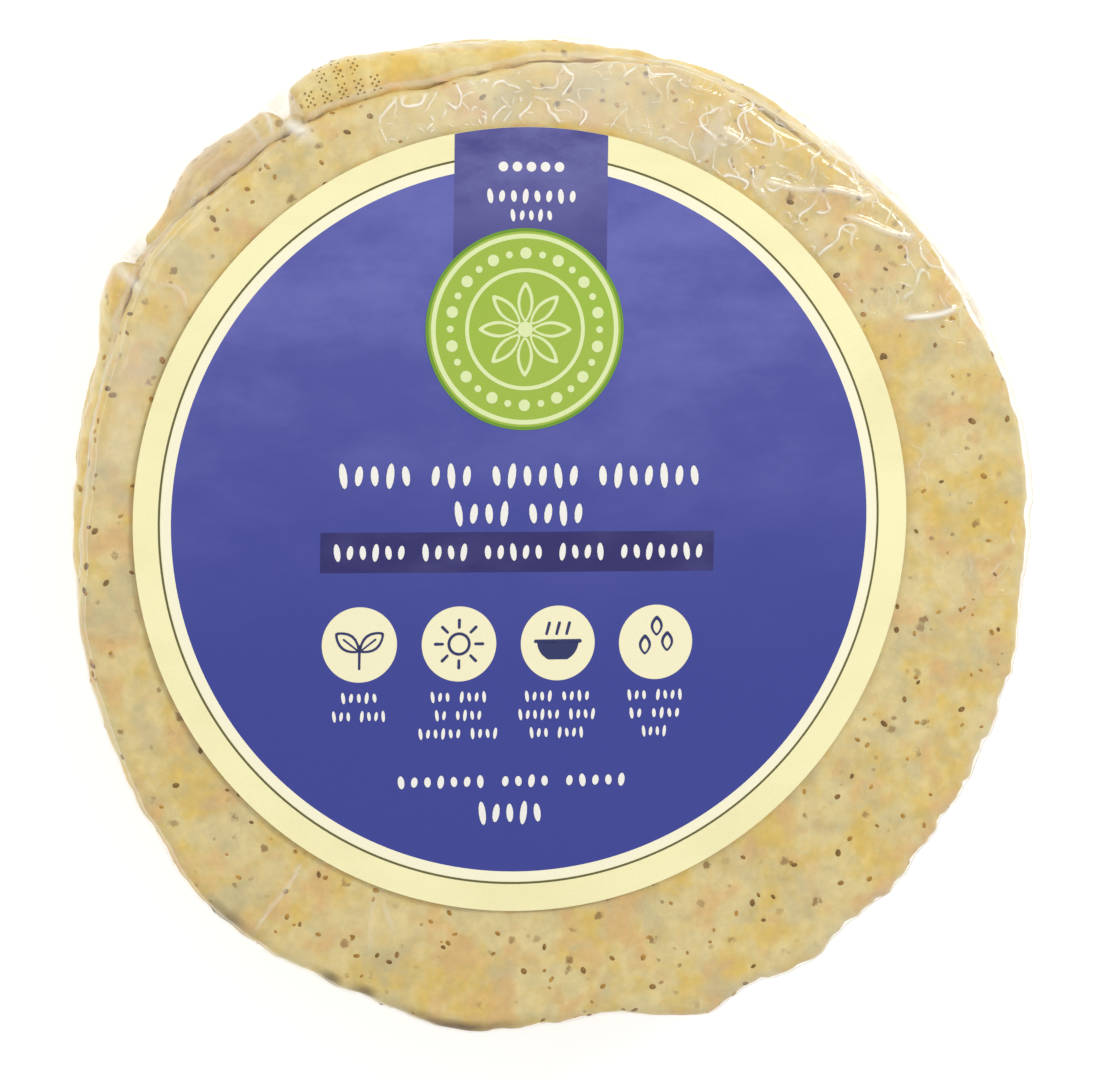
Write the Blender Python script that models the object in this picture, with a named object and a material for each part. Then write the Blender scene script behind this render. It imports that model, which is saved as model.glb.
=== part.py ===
"""Round film-wrapped pack of five thin rice arepas, with a round paper label on its front.

The pack lies on its back: +Z points out of the labelled front, and +Y is upright on the label.
The origin is in the middle of the pack's box, on the surface that the pack lies on.
Lengths are in metres. Directions are in degrees, anticlockwise from +X.
"""

import math
from typing import NamedTuple

import bmesh
import bpy
import numpy as np

MM = 0.001

# The arepas
AREPA_THICKNESS = 5.6 * MM
RIM_DEPTH = 2.5 * MM  # how far a rounded rim falls back at the arepa's two faces
RIM_POWER = 2.3  # 2 makes a rim half an ellipse, and more makes it squarer
CROWN_HEIGHT = 0.9 * MM  # rise of the top arepa's face from its rim to its middle

# The film
FILM_STAND_OFF = 0.35 * MM  # from an arepa's surface to the film's outside
FILM_BEND = 2.2 * MM  # tightest radius that the film bends to in the grooves between the arepas

# The label
LABEL_RADIUS = 50 * MM
LABEL_THICKNESS = 0.25 * MM
LABEL_GAP = 0.3 * MM  # clear space between the label's back and the film
LABEL_OFFSET = (-4.5 * MM, 3.5 * MM)  # of its centre from the top arepa's centre

# How finely the surfaces are divided
AROUND = 96
FOOT_RINGS = (0.5, 1.0)  # as parts of the foot's radius
CROWN_RINGS = (0.97, 0.85, 0.6, 0.3)  # as parts of the top face's radius
LAYER_LEVELS = (0.0, 0.14, 0.5, 0.86)  # as parts of an arepa's thickness
ROUNDED_LEVELS = (0.0, 0.05, 0.16, 0.32, 0.5, 0.7, 0.86)  # the same, for the lowest and top arepa
LABEL_RINGS = (0.3, 0.6, 0.85)
PROFILE_STEP = 0.2 * MM  # between the heights at which the film's fit is worked out


class Lobe(NamedTuple):
    """A place where an arepa's hand-pressed outline swells, or with a height below 0 falls in."""

    direction: float
    spread: float
    height_mm: float


class Arepa(NamedTuple):
    """One arepa: its mean radius, its centre and the lobes of its outline."""

    radius: float
    centre_mm: tuple[float, float]
    lobes: tuple[Lobe, ...]


# From the lowest arepa to the top one, with the top one centred on the stack's axis
AREPAS = (
    Arepa(62.2 * MM, (1.5, 1.5), (Lobe(95, 25, 1.0), Lobe(188, 25, -2.4))),
    Arepa(62.4 * MM, (2.0, 0.5), (Lobe(30, 30, 1.0), Lobe(180, 30, -1.5))),
    Arepa(62.0 * MM, (1.0, 1.2), (Lobe(75, 16, -0.5), Lobe(150, 30, -0.6), Lobe(188, 24, -1.4))),
    Arepa(
        62.2 * MM,
        (0.5, 1.8),
        (Lobe(98, 12, 0.6), Lobe(116, 10, 4.2), Lobe(133, 7, 3.0), Lobe(148, 6.5, 3.8), Lobe(178, 20, -1.0)),
    ),
    Arepa(
        62.6 * MM,
        (0.0, 0.0),
        (
            Lobe(12, 22, 0.7),
            Lobe(54, 18, -0.8),
            Lobe(103, 12, -1.8),
            Lobe(145, 9, 1.2),
            Lobe(174, 16, -2.6),
            Lobe(205, 12, -0.7),
            Lobe(222, 7, 1.0),
            Lobe(258, 8, 1.4),
            Lobe(278, 7, -2.0),
            Lobe(289, 5, 2.5),
            Lobe(308, 22, 1.8),
        ),
    ),
)
RIPPLES = ((7, 0.25 * MM), (11, 0.2 * MM), (16, 0.15 * MM))  # waves round an outline, and their height

STACK_HEIGHT = AREPA_THICKNESS * len(AREPAS)


def turn_between(a: float, b: float) -> float:
    """Smallest turn from direction a to direction b, from -180 to 180."""
    return (b - a + 180) % 360 - 180


def arepa_radius(arepa: Arepa, direction: float, number: int) -> float:
    """Distance from an arepa's own centre to its widest edge."""
    radius = arepa.radius
    for lobe in arepa.lobes:
        off_lobe = turn_between(lobe.direction, direction) / lobe.spread
        radius += lobe.height_mm * MM * math.exp(-(off_lobe**2))
    for waves, height in RIPPLES:
        radius += height * math.cos(math.radians(waves * direction) + waves * (number + 1))
    return radius


def edge_from_axis(number: int, direction: float) -> float:
    """Distance from the stack's axis to the edge of the arepa of that number."""
    arepa = AREPAS[number]
    turn = math.radians(direction)
    centre_x, centre_y = (place * MM for place in arepa.centre_mm)
    along = centre_x * math.cos(turn) + centre_y * math.sin(turn)
    across = centre_y * math.cos(turn) - centre_x * math.sin(turn)
    return along + math.sqrt(arepa_radius(arepa, direction, number) ** 2 - across**2)


def rim_inset(part_of_thickness: float) -> float:
    """How far a rim lies inside its widest edge, from one face (0) to the other (1)."""
    off_middle = abs(2 * part_of_thickness - 1)
    return RIM_DEPTH * (1 - (1 - off_middle**RIM_POWER) ** (1 / RIM_POWER))


def film_profile(direction: float) -> tuple[np.ndarray, np.ndarray]:
    """Heights, and the film's radius at each, where it is drawn over the rims in one direction.

    A ball of the film's bend radius is rolled down the bare rims: the film bridges what it can't reach.
    """
    heights = np.arange(0, STACK_HEIGHT + PROFILE_STEP / 2, PROFILE_STEP)
    bare = np.empty(len(heights))
    for index, height in enumerate(heights):
        number = min(int(height / AREPA_THICKNESS), len(AREPAS) - 1)
        part_of_thickness = min(height / AREPA_THICKNESS - number, 1)
        bare[index] = edge_from_axis(number, direction) - rim_inset(part_of_thickness)
    apart = heights[:, None] - heights[None, :]
    reach = np.sqrt(np.maximum(FILM_BEND**2 - apart**2, 0))
    near = np.abs(apart) <= FILM_BEND
    ball_path = np.where(near, bare[None, :] + reach, -np.inf).max(axis=1)
    bridged = np.where(near, ball_path[None, :] - reach, np.inf).min(axis=1)
    return heights, bridged + FILM_STAND_OFF


def crown(x: float, y: float) -> float:
    """Height of the film over the top arepa's face, at a place measured from the stack's axis."""
    part_of_radius = math.hypot(x, y) / (AREPAS[-1].radius - RIM_DEPTH)
    return STACK_HEIGHT + CROWN_HEIGHT * (1 - min(part_of_radius, 1) ** 2)


def side_heights() -> list[float]:
    """Heights of the rings up the pack's side, closest together at its rounded foot and shoulder."""
    lowest = [part * AREPA_THICKNESS for part in ROUNDED_LEVELS]
    heights = list(lowest)
    for number in range(1, len(AREPAS) - 1):
        heights += [(number + part) * AREPA_THICKNESS for part in LAYER_LEVELS]
    heights.append((len(AREPAS) - 1) * AREPA_THICKNESS)
    heights += [STACK_HEIGHT - height for height in reversed(lowest)]
    return heights


def turned(bm: bmesh.types.BMesh, profile: list[tuple[float, float]], steps: int) -> None:
    """Turn a profile of (radius, height) points, from the axis round to the axis, into a closed body."""
    points = [bm.verts.new((radius, 0, height)) for radius, height in profile]
    edges = [bm.edges.new(pair) for pair in zip(points, points[1:])]
    bmesh.ops.spin(
        bm,
        geom=points + edges,
        cent=(0, 0, 0),
        axis=(0, 0, 1),
        angle=math.tau,
        steps=steps,
        use_merge=True,
    )
    bmesh.ops.remove_doubles(bm, verts=bm.verts, dist=0.01 * MM)
    bmesh.ops.recalc_face_normals(bm, faces=bm.faces)


def material(name: str, colour: tuple[float, float, float], roughness: float) -> bpy.types.Material:
    """A plain Principled finish."""
    finish = bpy.data.materials.new(name)
    finish.use_nodes = True
    shader = finish.node_tree.nodes["Principled BSDF"]
    shader.inputs["Base Color"].default_value = (*colour, 1)
    shader.inputs["Roughness"].default_value = roughness
    shader.inputs["Metallic"].default_value = 0
    return finish


def add_object(name: str, bm: bmesh.types.BMesh, finish: bpy.types.Material) -> bpy.types.Object:
    """Make an object of a finished bmesh, shaded smooth except at its sharp edges."""
    mesh = bpy.data.meshes.new(name)
    bm.to_mesh(mesh)
    bm.free()
    mesh.shade_smooth()
    mesh.set_sharp_from_angle(angle=math.radians(40))
    mesh.materials.append(finish)
    piece = bpy.data.objects.new(name, mesh)
    bpy.context.collection.objects.link(piece)
    return piece


def make_pack() -> bpy.types.Object:
    """The sealed pack: the five arepas and the film drawn tight round them, as one solid."""
    heights = side_heights()
    unit_foot = [(part, 0.0) for part in FOOT_RINGS[:-1]]
    unit_side = [(1.0, height) for height in heights]
    unit_top = [(part, STACK_HEIGHT) for part in CROWN_RINGS]
    bm = bmesh.new()
    turned(bm, [(0, 0), *unit_foot, *unit_side, *unit_top, (0, STACK_HEIGHT + CROWN_HEIGHT)], AROUND)
    films = {}
    for vert in bm.verts:
        part = math.hypot(vert.co.x, vert.co.y)
        if part < 0.01:
            continue
        direction = round(math.degrees(math.atan2(vert.co.y, vert.co.x)), 3) % 360
        if direction not in films:
            films[direction] = film_profile(direction)
        radius = part * float(np.interp(vert.co.z, *films[direction]))
        vert.co.x = radius * math.cos(math.radians(direction))
        vert.co.y = radius * math.sin(math.radians(direction))
        if part < 0.99 and vert.co.z > STACK_HEIGHT / 2:
            vert.co.z = crown(vert.co.x, vert.co.y)
    return add_object("arepa_pack", bm, material("film_over_arepas", (0.71, 0.57, 0.27), 0.25))


def make_label() -> bpy.types.Object:
    """The round paper label, which follows the crown of the front."""
    bm = bmesh.new()
    back = [(part * LABEL_RADIUS, 0.0) for part in (0, *LABEL_RINGS, 1)]
    front = [(radius, LABEL_THICKNESS) for radius, _ in reversed(back)]
    turned(bm, back + front, AROUND)
    for vert in bm.verts:
        vert.co.x += LABEL_OFFSET[0]
        vert.co.y += LABEL_OFFSET[1]
        vert.co.z += crown(vert.co.x, vert.co.y) + LABEL_GAP
    return add_object("round_label", bm, material("label_paper", (0.09, 0.10, 0.39), 0.45))


def centre_on_origin(pieces: list[bpy.types.Object]) -> None:
    """Move the meshes so that the middle of their common box is over the origin."""
    points = [vert.co for piece in pieces for vert in piece.data.vertices]
    for axis in (0, 1):
        places = [point[axis] for point in points]
        middle = (min(places) + max(places)) / 2
        for point in points:
            point[axis] -= middle


def main() -> None:
    """Clear the scene and make the pack's pieces."""
    for piece in list(bpy.data.objects):
        bpy.data.objects.remove(piece, do_unlink=True)
    centre_on_origin([make_pack(), make_label()])


if __name__ == "__main__":
    main()
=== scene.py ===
"""Film-wrapped pack of five rice arepas with a round paper label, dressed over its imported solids.

The pack lies on its back with the labelled front up: +Z points out of the label and +Y to its top.
Lengths are in metres. Directions are in degrees, anticlockwise from +X, seen from the front.
"""

import logging
import math
import random
from collections.abc import Iterable, Sequence
from dataclasses import dataclass, field
from enum import Enum, IntEnum
from itertools import product

import bmesh
import bpy
import numpy as np
from mathutils import Matrix, Vector, noise
from mathutils.bvhtree import BVHTree


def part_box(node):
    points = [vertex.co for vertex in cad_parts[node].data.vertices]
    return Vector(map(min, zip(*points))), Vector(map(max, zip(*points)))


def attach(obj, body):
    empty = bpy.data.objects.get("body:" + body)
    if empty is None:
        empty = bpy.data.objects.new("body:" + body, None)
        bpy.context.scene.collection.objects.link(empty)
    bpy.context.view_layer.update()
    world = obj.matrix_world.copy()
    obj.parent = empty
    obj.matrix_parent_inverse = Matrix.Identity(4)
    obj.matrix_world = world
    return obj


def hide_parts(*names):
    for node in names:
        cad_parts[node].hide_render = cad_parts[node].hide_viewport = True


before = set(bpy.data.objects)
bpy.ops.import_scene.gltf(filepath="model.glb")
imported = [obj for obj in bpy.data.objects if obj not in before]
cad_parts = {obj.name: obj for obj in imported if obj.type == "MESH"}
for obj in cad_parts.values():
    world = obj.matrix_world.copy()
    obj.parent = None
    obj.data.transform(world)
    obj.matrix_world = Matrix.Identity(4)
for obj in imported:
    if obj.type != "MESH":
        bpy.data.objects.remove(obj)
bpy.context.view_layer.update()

LOG = logging.getLogger("arepa_pack")
MM = 0.001
BODY = "root"
PACK_NODE = "arepa_pack"
LABEL_NODE = "round_label"
AFAR = 100 * MM  # well outside the pack, from its axis or its floor
DOWN = Vector((0, 0, -1))
WIDE = 100.0  # beyond the label on every side, in mm
GROUP_GAP = 0.9  # between two groups of printed grains, in grain pitches
LOW_GRAIN = 0.78  # height of the lower grains as a part of the tall ones' height
GRAIN_LEANS = (8, -7, 4, -5)  # how far printed grains lean, in turn
SRGB_KNEE = 0.04045  # display value below which the display's curve is straight

Colour = tuple[float, float, float]
Spot = tuple[float, float]
Grid = np.ndarray
BMesh = bmesh.types.BMesh
Socket = bpy.types.NodeSocket


class Slot(Enum):
    """The record's material slots."""

    FILM = "film"
    LABEL = "label"
    AREPA = "arepa"
    SEED = "seed"
    INK = "ink"


class Grain(IntEnum):
    """The noises that make surfaces uneven: each number gives a noise of its own."""

    SWELL = 1
    COARSE_LUMPS = 2
    MIDDLE_LUMPS = 3
    FINE_LUMPS = 4
    COARSE_RAG = 5
    FINE_RAG = 6
    GATHERS = 21
    RIDGE_BEND_ALONG = 31
    RIDGE_BEND_ASIDE = 32
    WIDE_RIDGES = 33
    SMALL_RIDGES = 34
    PLEATS = 41
    UNDERSIDE = 43
    SHOULDER = 45
    WEB_STREAKS = 46
    BLOOM = 47
    EDGE_WAVES = 51
    EDGE_RAG = 52
    EDGE_TEARS = 53


# ---------------------------------------------------------------- small helpers


def linear(colour: Colour) -> tuple[float, float, float, float]:
    """Turn a display colour into the linear values that shaders take.

    Args:
        colour: Red, green and blue, each from 0 to 255.

    Returns:
        The linear colour, with an alpha of 1.
    """
    parts = [part / 255 for part in colour]
    red, green, blue = (p / 12.92 if p <= SRGB_KNEE else ((p + 0.055) / 1.055) ** 2.4 for p in parts)
    return (red, green, blue, 1.0)


def soft_noise(points: Grid, size: float, grain: Grain) -> Grid:
    """Smooth noise at each point.

    Args:
        points: Places, one row each.
        size: Length of one wave of the noise.
        grain: Which noise it is.

    Returns:
        A value for each point, from about -1 to 1.
    """
    shift = Vector((grain * 17.3, grain * 7.9, grain * 11.1))
    return np.array([noise.noise(Vector(point) / size + shift) for point in points])


def ramp(values: Grid, start: float, end: float) -> Grid:
    """Ease from 0 at start to 1 at end, for each value."""
    part = np.clip((values - start) / (end - start), 0, 1)
    return part * part * (3 - 2 * part)


def crest(values: Grid, width: float) -> Grid:
    """1 where a value is 0, falling away to 0 on both sides in about twice the width."""
    return np.exp(-((values / width) ** 2))


def on_level(spots: Grid, height: float = 0.0) -> Grid:
    """Flat places put at one height, one row each."""
    return np.column_stack([spots, np.full(len(spots), height)])


def spun(spots: Grid, turn: float) -> Grid:
    """Flat places turned round the origin by an angle in degrees."""
    angle = math.radians(turn)
    return spots @ np.array([[math.cos(angle), math.sin(angle)], [-math.sin(angle), math.cos(angle)]])


def push_out(places: Grid, directions: Grid, amounts: Grid) -> None:
    """Move places outwards.

    Args:
        places: Places, one row each, which are changed.
        directions: The direction that each moves in.
        amounts: How far each moves.
    """
    turns = np.radians(directions)
    places[:, 0] += amounts * np.cos(turns)
    places[:, 1] += amounts * np.sin(turns)


def around(centre: Spot, reach: float, turn: float) -> Spot:
    """The place at a distance from a centre, in a direction in degrees."""
    angle = math.radians(turn)
    return (centre[0] + reach * math.cos(angle), centre[1] + reach * math.sin(angle))


def turned(bm: BMesh, profile: Sequence[Spot], steps: int, merge: float) -> None:
    """Turn a chain of points all round the Z axis, and add what it sweeps to a bmesh.

    An eighth of the turn is swept and then repeated, which is much quicker than one long sweep.

    Args:
        bm: The bmesh that grows.
        profile: (radius, height) of each point.
        steps: How many steps the turn takes, a multiple of 8.
        merge: Distance within which neighbouring eighths are joined.
    """
    points = [bm.verts.new((radius, 0, height)) for radius, height in profile]
    edges = [bm.edges.new(pair) for pair in zip(points, points[1:])]
    centre = dict(cent=(0, 0, 0), axis=(0, 0, 1))
    faces_before = set(bm.faces)
    bmesh.ops.spin(bm, geom=points + edges, angle=math.tau / 8, steps=steps // 8, **centre)
    eighth = [face for face in bm.faces if face not in faces_before]
    parts = set(eighth)
    for face in eighth:
        parts.update(face.verts)
        parts.update(face.edges)
    bmesh.ops.spin(bm, geom=list(parts), angle=math.tau * 7 / 8, steps=7, use_duplicate=True, **centre)
    bmesh.ops.remove_doubles(bm, verts=bm.verts, dist=merge)


def closed_turning(profile: Sequence[Spot], steps: int, merge: float) -> BMesh:
    """Turn a profile whose ends stand off the axis into a body, and close the hole at each end.

    Args:
        profile: (radius, height) of each point, neither end on the axis.
        steps: How many columns of faces go round, a multiple of 8.
        merge: Distance within which neighbouring vertices are joined.

    Returns:
        The closed body.
    """
    bm = bmesh.new()
    turned(bm, profile, steps, merge)
    bmesh.ops.holes_fill(bm, edges=[edge for edge in bm.edges if edge.is_boundary], sides=0)
    bmesh.ops.recalc_face_normals(bm, faces=bm.faces)
    return bm


def coordinates(bm: BMesh) -> Grid:
    """Every vertex's place, one row each."""
    return np.array([vert.co[:] for vert in bm.verts])


def set_coordinates(bm: BMesh, points: Grid) -> None:
    """Move every vertex to its row's place."""
    for vert, point in zip(bm.verts, points):
        vert.co = point


def copies(unit: BMesh, placings: Iterable[Matrix]) -> BMesh:
    """Copy a small shape to many places, as one bmesh.

    Args:
        unit: The small shape, which is freed.
        placings: What sets each copy in its place.

    Returns:
        All the copies.
    """
    bm = bmesh.new()
    mesh = bpy.data.meshes.new("copy")
    for placing in placings:
        unit.to_mesh(mesh)
        mesh.transform(placing)
        bm.from_mesh(mesh)
    unit.free()
    bpy.data.meshes.remove(mesh)
    return bm


def join(bm: BMesh, other: BMesh) -> None:
    """Add another bmesh's shape to a bmesh.

    Args:
        bm: The bmesh that grows.
        other: The other bmesh, which is freed.
    """
    mesh = bpy.data.meshes.new("joined")
    other.to_mesh(mesh)
    other.free()
    bm.from_mesh(mesh)
    bpy.data.meshes.remove(mesh)


def cast(tree: BVHTree, start: Vector, toward: Vector) -> list[tuple[Vector, Vector]]:
    """Find where a ray meets a surface.

    Args:
        tree: The surface.
        start: Where the ray starts.
        toward: Where it goes.

    Returns:
        The place and the surface's outward direction there, or nothing where the ray misses.
    """
    place, normal, _, _ = tree.ray_cast(start, toward)
    return [] if place is None else [(place, normal)]


def standing(normal: Vector) -> Matrix:
    """The turn that stands a shape's own Z along a surface's outward direction."""
    return normal.to_track_quat("Z", "Y").to_matrix().to_4x4()


def add_piece(
    name: str,
    bm: BMesh,
    finish: bpy.types.Material,
    slot: Slot,
    values: dict[str, Grid] | None = None,
    sharp_angle: float = 60,
) -> bpy.types.Object:
    """Make a shaded object of a finished bmesh, and have it ride on the pack.

    Args:
        name: The piece's name.
        bm: Its shape, which is freed.
        finish: Its material.
        slot: Not used.
        values: Numbers for each vertex, by attribute name, in the order of the vertices.
        sharp_angle: Edges that bend more than this many degrees stay sharp.

    Returns:
        The new object.
    """
    mesh = bpy.data.meshes.new(name)
    bm.to_mesh(mesh)
    bm.free()
    for attribute_name, numbers in (values or {}).items():
        attribute = mesh.attributes.new(attribute_name, "FLOAT", "POINT")
        attribute.data.foreach_set("value", numbers.astype(np.float32))
    mesh.shade_smooth()
    mesh.set_sharp_from_angle(angle=math.radians(sharp_angle))
    mesh.materials.append(finish)
    piece = bpy.data.objects.new(name, mesh)
    bpy.context.scene.collection.objects.link(piece)
    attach(piece, BODY)
    mesh.calc_loop_triangles()
    LOG.info("%s: %d triangles", name, len(mesh.loop_triangles))
    return piece


# ---------------------------------------------------------------- finishes


class NodeTree:
    """A material's nodes, with short ways to add and join them."""

    def __init__(self, name: str) -> None:
        """Start an empty tree.

        Args:
            name: The material's name.
        """
        self.material = bpy.data.materials.new(name)
        self.material.use_nodes = True
        self.tree = self.material.node_tree
        self.tree.nodes.clear()

    def add(self, kind: str, **inputs: object) -> bpy.types.Node:
        """Add a node.

        Args:
            kind: The node's type, without the ShaderNode in front.
            inputs: What each input is set or joined to, by its name with _ for a space. Settings of the
                node itself, such as a Math node's operation, are given in the same way.

        Returns:
            The node.
        """
        node = self.tree.nodes.new("ShaderNode" + kind)
        for name, value in inputs.items():
            socket_name = name.replace("_", " ")
            if hasattr(node, name) and name not in ("inputs", "outputs"):
                setattr(node, name, value)
            elif socket_name in node.inputs:
                self.put(node.inputs[socket_name], value)
            else:
                raise KeyError(f"{kind} has no input or setting {name}")
        return node

    def put(self, socket: Socket, value: object) -> None:
        """Join a socket to another, or set its value.

        Args:
            socket: The input.
            value: Another node's output, or a constant.
        """
        if isinstance(value, Socket):
            self.tree.links.new(value, socket)
        else:
            socket.default_value = value

    def fill(self, kind: str, values: Sequence[object], **settings: object) -> bpy.types.Node:
        """Add a node, and set or join its first inputs in order.

        Args:
            kind: The node's type, without the ShaderNode in front.
            values: What its first inputs are set or joined to.
            settings: Its settings.

        Returns:
            The node.
        """
        node = self.add(kind, **settings)
        for socket, value in zip(node.inputs, values):
            self.put(socket, value)
        return node

    def math(self, operation: str, *values: object) -> Socket:
        """Add a Math node and return its result."""
        return self.fill("Math", values, operation=operation).outputs[0]

    def vector_math(self, operation: str, *values: object) -> Socket:
        """Add a Vector Math node and return its result."""
        return self.fill("VectorMath", values, operation=operation).outputs[0]

    def place(self) -> Socket:
        """The piece's own coordinates, in metres."""
        return self.add("TexCoord").outputs["Object"]

    def attribute(self, name: str) -> Socket:
        """A number that the mesh keeps for each vertex."""
        return self.add("Attribute", attribute_name=name).outputs["Fac"]

    def noise(
        self, vector: Socket, size: float, detail: float = 2, rough: float = 0.5, shift: float = 0
    ) -> Socket:
        """Add a noise texture.

        Args:
            vector: The coordinates that it reads.
            size: Length of one wave, in metres.
            detail: How many finer waves it adds.
            rough: How strong the finer waves are.
            shift: Which of many such noises it is.

        Returns:
            Its value, around 0.5.
        """
        node = self.add(
            "TexNoise",
            noise_dimensions="4D",
            Vector=vector,
            W=shift,
            Scale=1 / size,
            Detail=detail,
            Roughness=rough,
        )
        return node.outputs["Factor" if "Factor" in node.outputs else "Fac"]

    def step(self, value: object, start: float, end: float) -> Socket:
        """A smooth step of a value, from 0 at start to 1 at end."""
        levels = dict(From_Min=start, From_Max=end)
        return self.add("MapRange", interpolation_type="SMOOTHSTEP", Value=value, **levels).outputs["Result"]

    def blend(self, amount: object, first: object, second: object, mode: str = "MIX") -> Socket:
        """Mix two colours.

        Args:
            amount: How much of the second colour there is.
            first: The first colour.
            second: The second colour.
            mode: How they are mixed.

        Returns:
            The mixed colour.
        """
        node = self.add("Mix", data_type="RGBA", blend_type=mode)
        for number, value in ((0, amount), (6, first), (7, second)):
            self.put(node.inputs[number], value)
        return node.outputs[2]

    def mix_shaders(self, amount: object, first: bpy.types.Node, second: bpy.types.Node) -> bpy.types.Node:
        """Mix two shaders, with the amount that there is of the second."""
        return self.fill("MixShader", (amount, first.outputs[0], second.outputs[0]))

    def bump(self, height: Socket, depth: float, strength: float = 1.0) -> Socket:
        """Turn a height from 0 to 1 into a normal, with the depth that 1 stands for."""
        return self.add("Bump", Height=height, Distance=depth, Strength=strength).outputs["Normal"]

    def finish(self, shader: bpy.types.Node) -> bpy.types.Material:
        """Join a shader to the output, and return the material."""
        self.add("OutputMaterial", Surface=shader.outputs[0])
        return self.material


@dataclass(frozen=True)
class Patches:
    """How one tint lies over the dough in patches of a noise."""

    relative_size: float
    detail: int
    rough: float
    shift: int
    start: float
    full: float
    share: float = 1.0


@dataclass(frozen=True)
class SunkSpots:
    """Seeds that show through the dough: how far apart, how large and how dark they are."""

    spacing: float
    reach: float
    share: float


@dataclass(frozen=True)
class DoughFinish:
    """Moist rice dough: pale, with yellow, peach and grey patches, grits, seeds sunk in it, and a painted
    shade where its arepa marks one.
    """

    name: str
    pale: Colour = (226, 207, 146)
    yellow: Colour = (224, 191, 92)
    peach: Colour = (223, 185, 118)
    grey: Colour = (202, 187, 138)
    sunk_seed: Colour = (132, 88, 4)
    # The painted shade's colour.
    painted_shade_colour: Colour = (210, 182, 138)
    shift: float = 0.0
    patch_size: float = 6.2 * MM
    # Size of the painted shade's uneven patches.
    painted_shade_size: float = 4 * MM
    grit_size: float = 1.6 * MM
    grit_depth: float = 0.25 * MM
    grit_shades: tuple[float, float] = (0.89, 1.07)
    spot_edge_size: float = 0.9 * MM
    roughness: float = 0.55
    bleed: float = 0.2
    bleed_reach: float = 2.0 * MM
    yellow_patches: Patches = Patches(1.0, 3, 0.6, 0, 0.42, 0.66)
    peach_patches: Patches = Patches(0.8, 2, 0.55, 5, 0.48, 0.68)
    grey_patches: Patches = Patches(1.1, 3, 0.6, 9, 0.48, 0.7, 0.8)
    sunk_spots: tuple[SunkSpots, ...] = (SunkSpots(3.6 * MM, 0.2, 0.76), SunkSpots(2.4 * MM, 0.17, 0.66))

    def tint(self, nodes: NodeTree, place: Socket, colour: object, tint: Colour, patches: Patches) -> Socket:
        """Lay patches of a tint over a colour.

        Args:
            nodes: The material's nodes.
            place: The coordinates that the patches follow.
            colour: The colour under them.
            tint: Their colour.
            patches: How they lie.

        Returns:
            The colour with the patches.
        """
        size = self.patch_size * patches.relative_size
        level = nodes.noise(place, size, patches.detail, patches.rough, self.shift + patches.shift)
        amount = nodes.math("MULTIPLY", nodes.step(level, patches.start, patches.full), patches.share)
        return nodes.blend(amount, colour, linear(tint))

    def sink(self, nodes: NodeTree, place: Socket, colour: Socket, number: int, spots: SunkSpots) -> Socket:
        """Let one kind of sunk seed show through a colour.

        Args:
            nodes: The material's nodes.
            place: The coordinates that the seeds follow.
            colour: The dough's colour.
            number: Which kind it is, counted from 0.
            spots: How the seeds lie.

        Returns:
            The colour with the seeds.
        """
        moved = nodes.add("Mapping", Vector=place, Location=(0.31 * number, 0.17 * self.shift, 0.0))
        cells = nodes.add("TexVoronoi", Vector=moved.outputs[0], Scale=1 / spots.spacing, Randomness=1.0)
        ragged = nodes.noise(place, self.spot_edge_size, detail=2, rough=0.6, shift=number)
        distance = nodes.math("MULTIPLY_ADD", ragged, 0.5, -0.25)
        distance = nodes.math("ADD", cells.outputs["Distance"], distance)
        near = nodes.step(distance, spots.reach, spots.reach * 0.35)
        pick = nodes.add("SeparateColor", Color=cells.outputs["Color"])
        near = nodes.math("MULTIPLY", near, nodes.step(pick.outputs[0], 0.35, 0.85))
        return nodes.blend(nodes.math("MULTIPLY", near, spots.share), colour, linear(self.sunk_seed))

    def material(self) -> bpy.types.Material:
        """Build the material.

        Returns:
            The material.
        """
        nodes = NodeTree(self.name)
        place = nodes.place()
        colour = self.tint(nodes, place, linear(self.pale), self.yellow, self.yellow_patches)
        colour = self.tint(nodes, place, colour, self.peach, self.peach_patches)
        colour = self.tint(nodes, place, colour, self.grey, self.grey_patches)
        # Painted shade: a darker tint where the arepa marks shaded dough, broken up by a noise.
        uneven = nodes.step(nodes.noise(place, self.painted_shade_size), 0.2, 0.6)
        painted_shade = nodes.math("MULTIPLY", nodes.attribute("painted_shade"), uneven)
        colour = nodes.blend(painted_shade, colour, linear(self.painted_shade_colour))
        grits = nodes.noise(place, self.grit_size, detail=3, rough=0.65, shift=self.shift + 13)
        darkest, lightest = self.grit_shades
        levels = dict(From_Min=0.3, From_Max=0.7, To_Min=darkest, To_Max=lightest)
        shade = nodes.add("MapRange", Value=grits, **levels).outputs[0]
        shade = nodes.add("CombineColor", Red=shade, Green=shade, Blue=shade).outputs[0]
        colour = nodes.blend(1.0, colour, shade, "MULTIPLY")
        for number, spots in enumerate(self.sunk_spots):
            colour = self.sink(nodes, place, colour, number, spots)
        shader = nodes.add(
            "BsdfPrincipled",
            Base_Color=colour,
            Roughness=self.roughness,
            Subsurface_Weight=self.bleed,
            Subsurface_Radius=(1.0, 0.6, 0.3),
            Subsurface_Scale=self.bleed_reach,
            Normal=nodes.bump(grits, self.grit_depth, 0.5),
        )
        return nodes.finish(shader)


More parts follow.
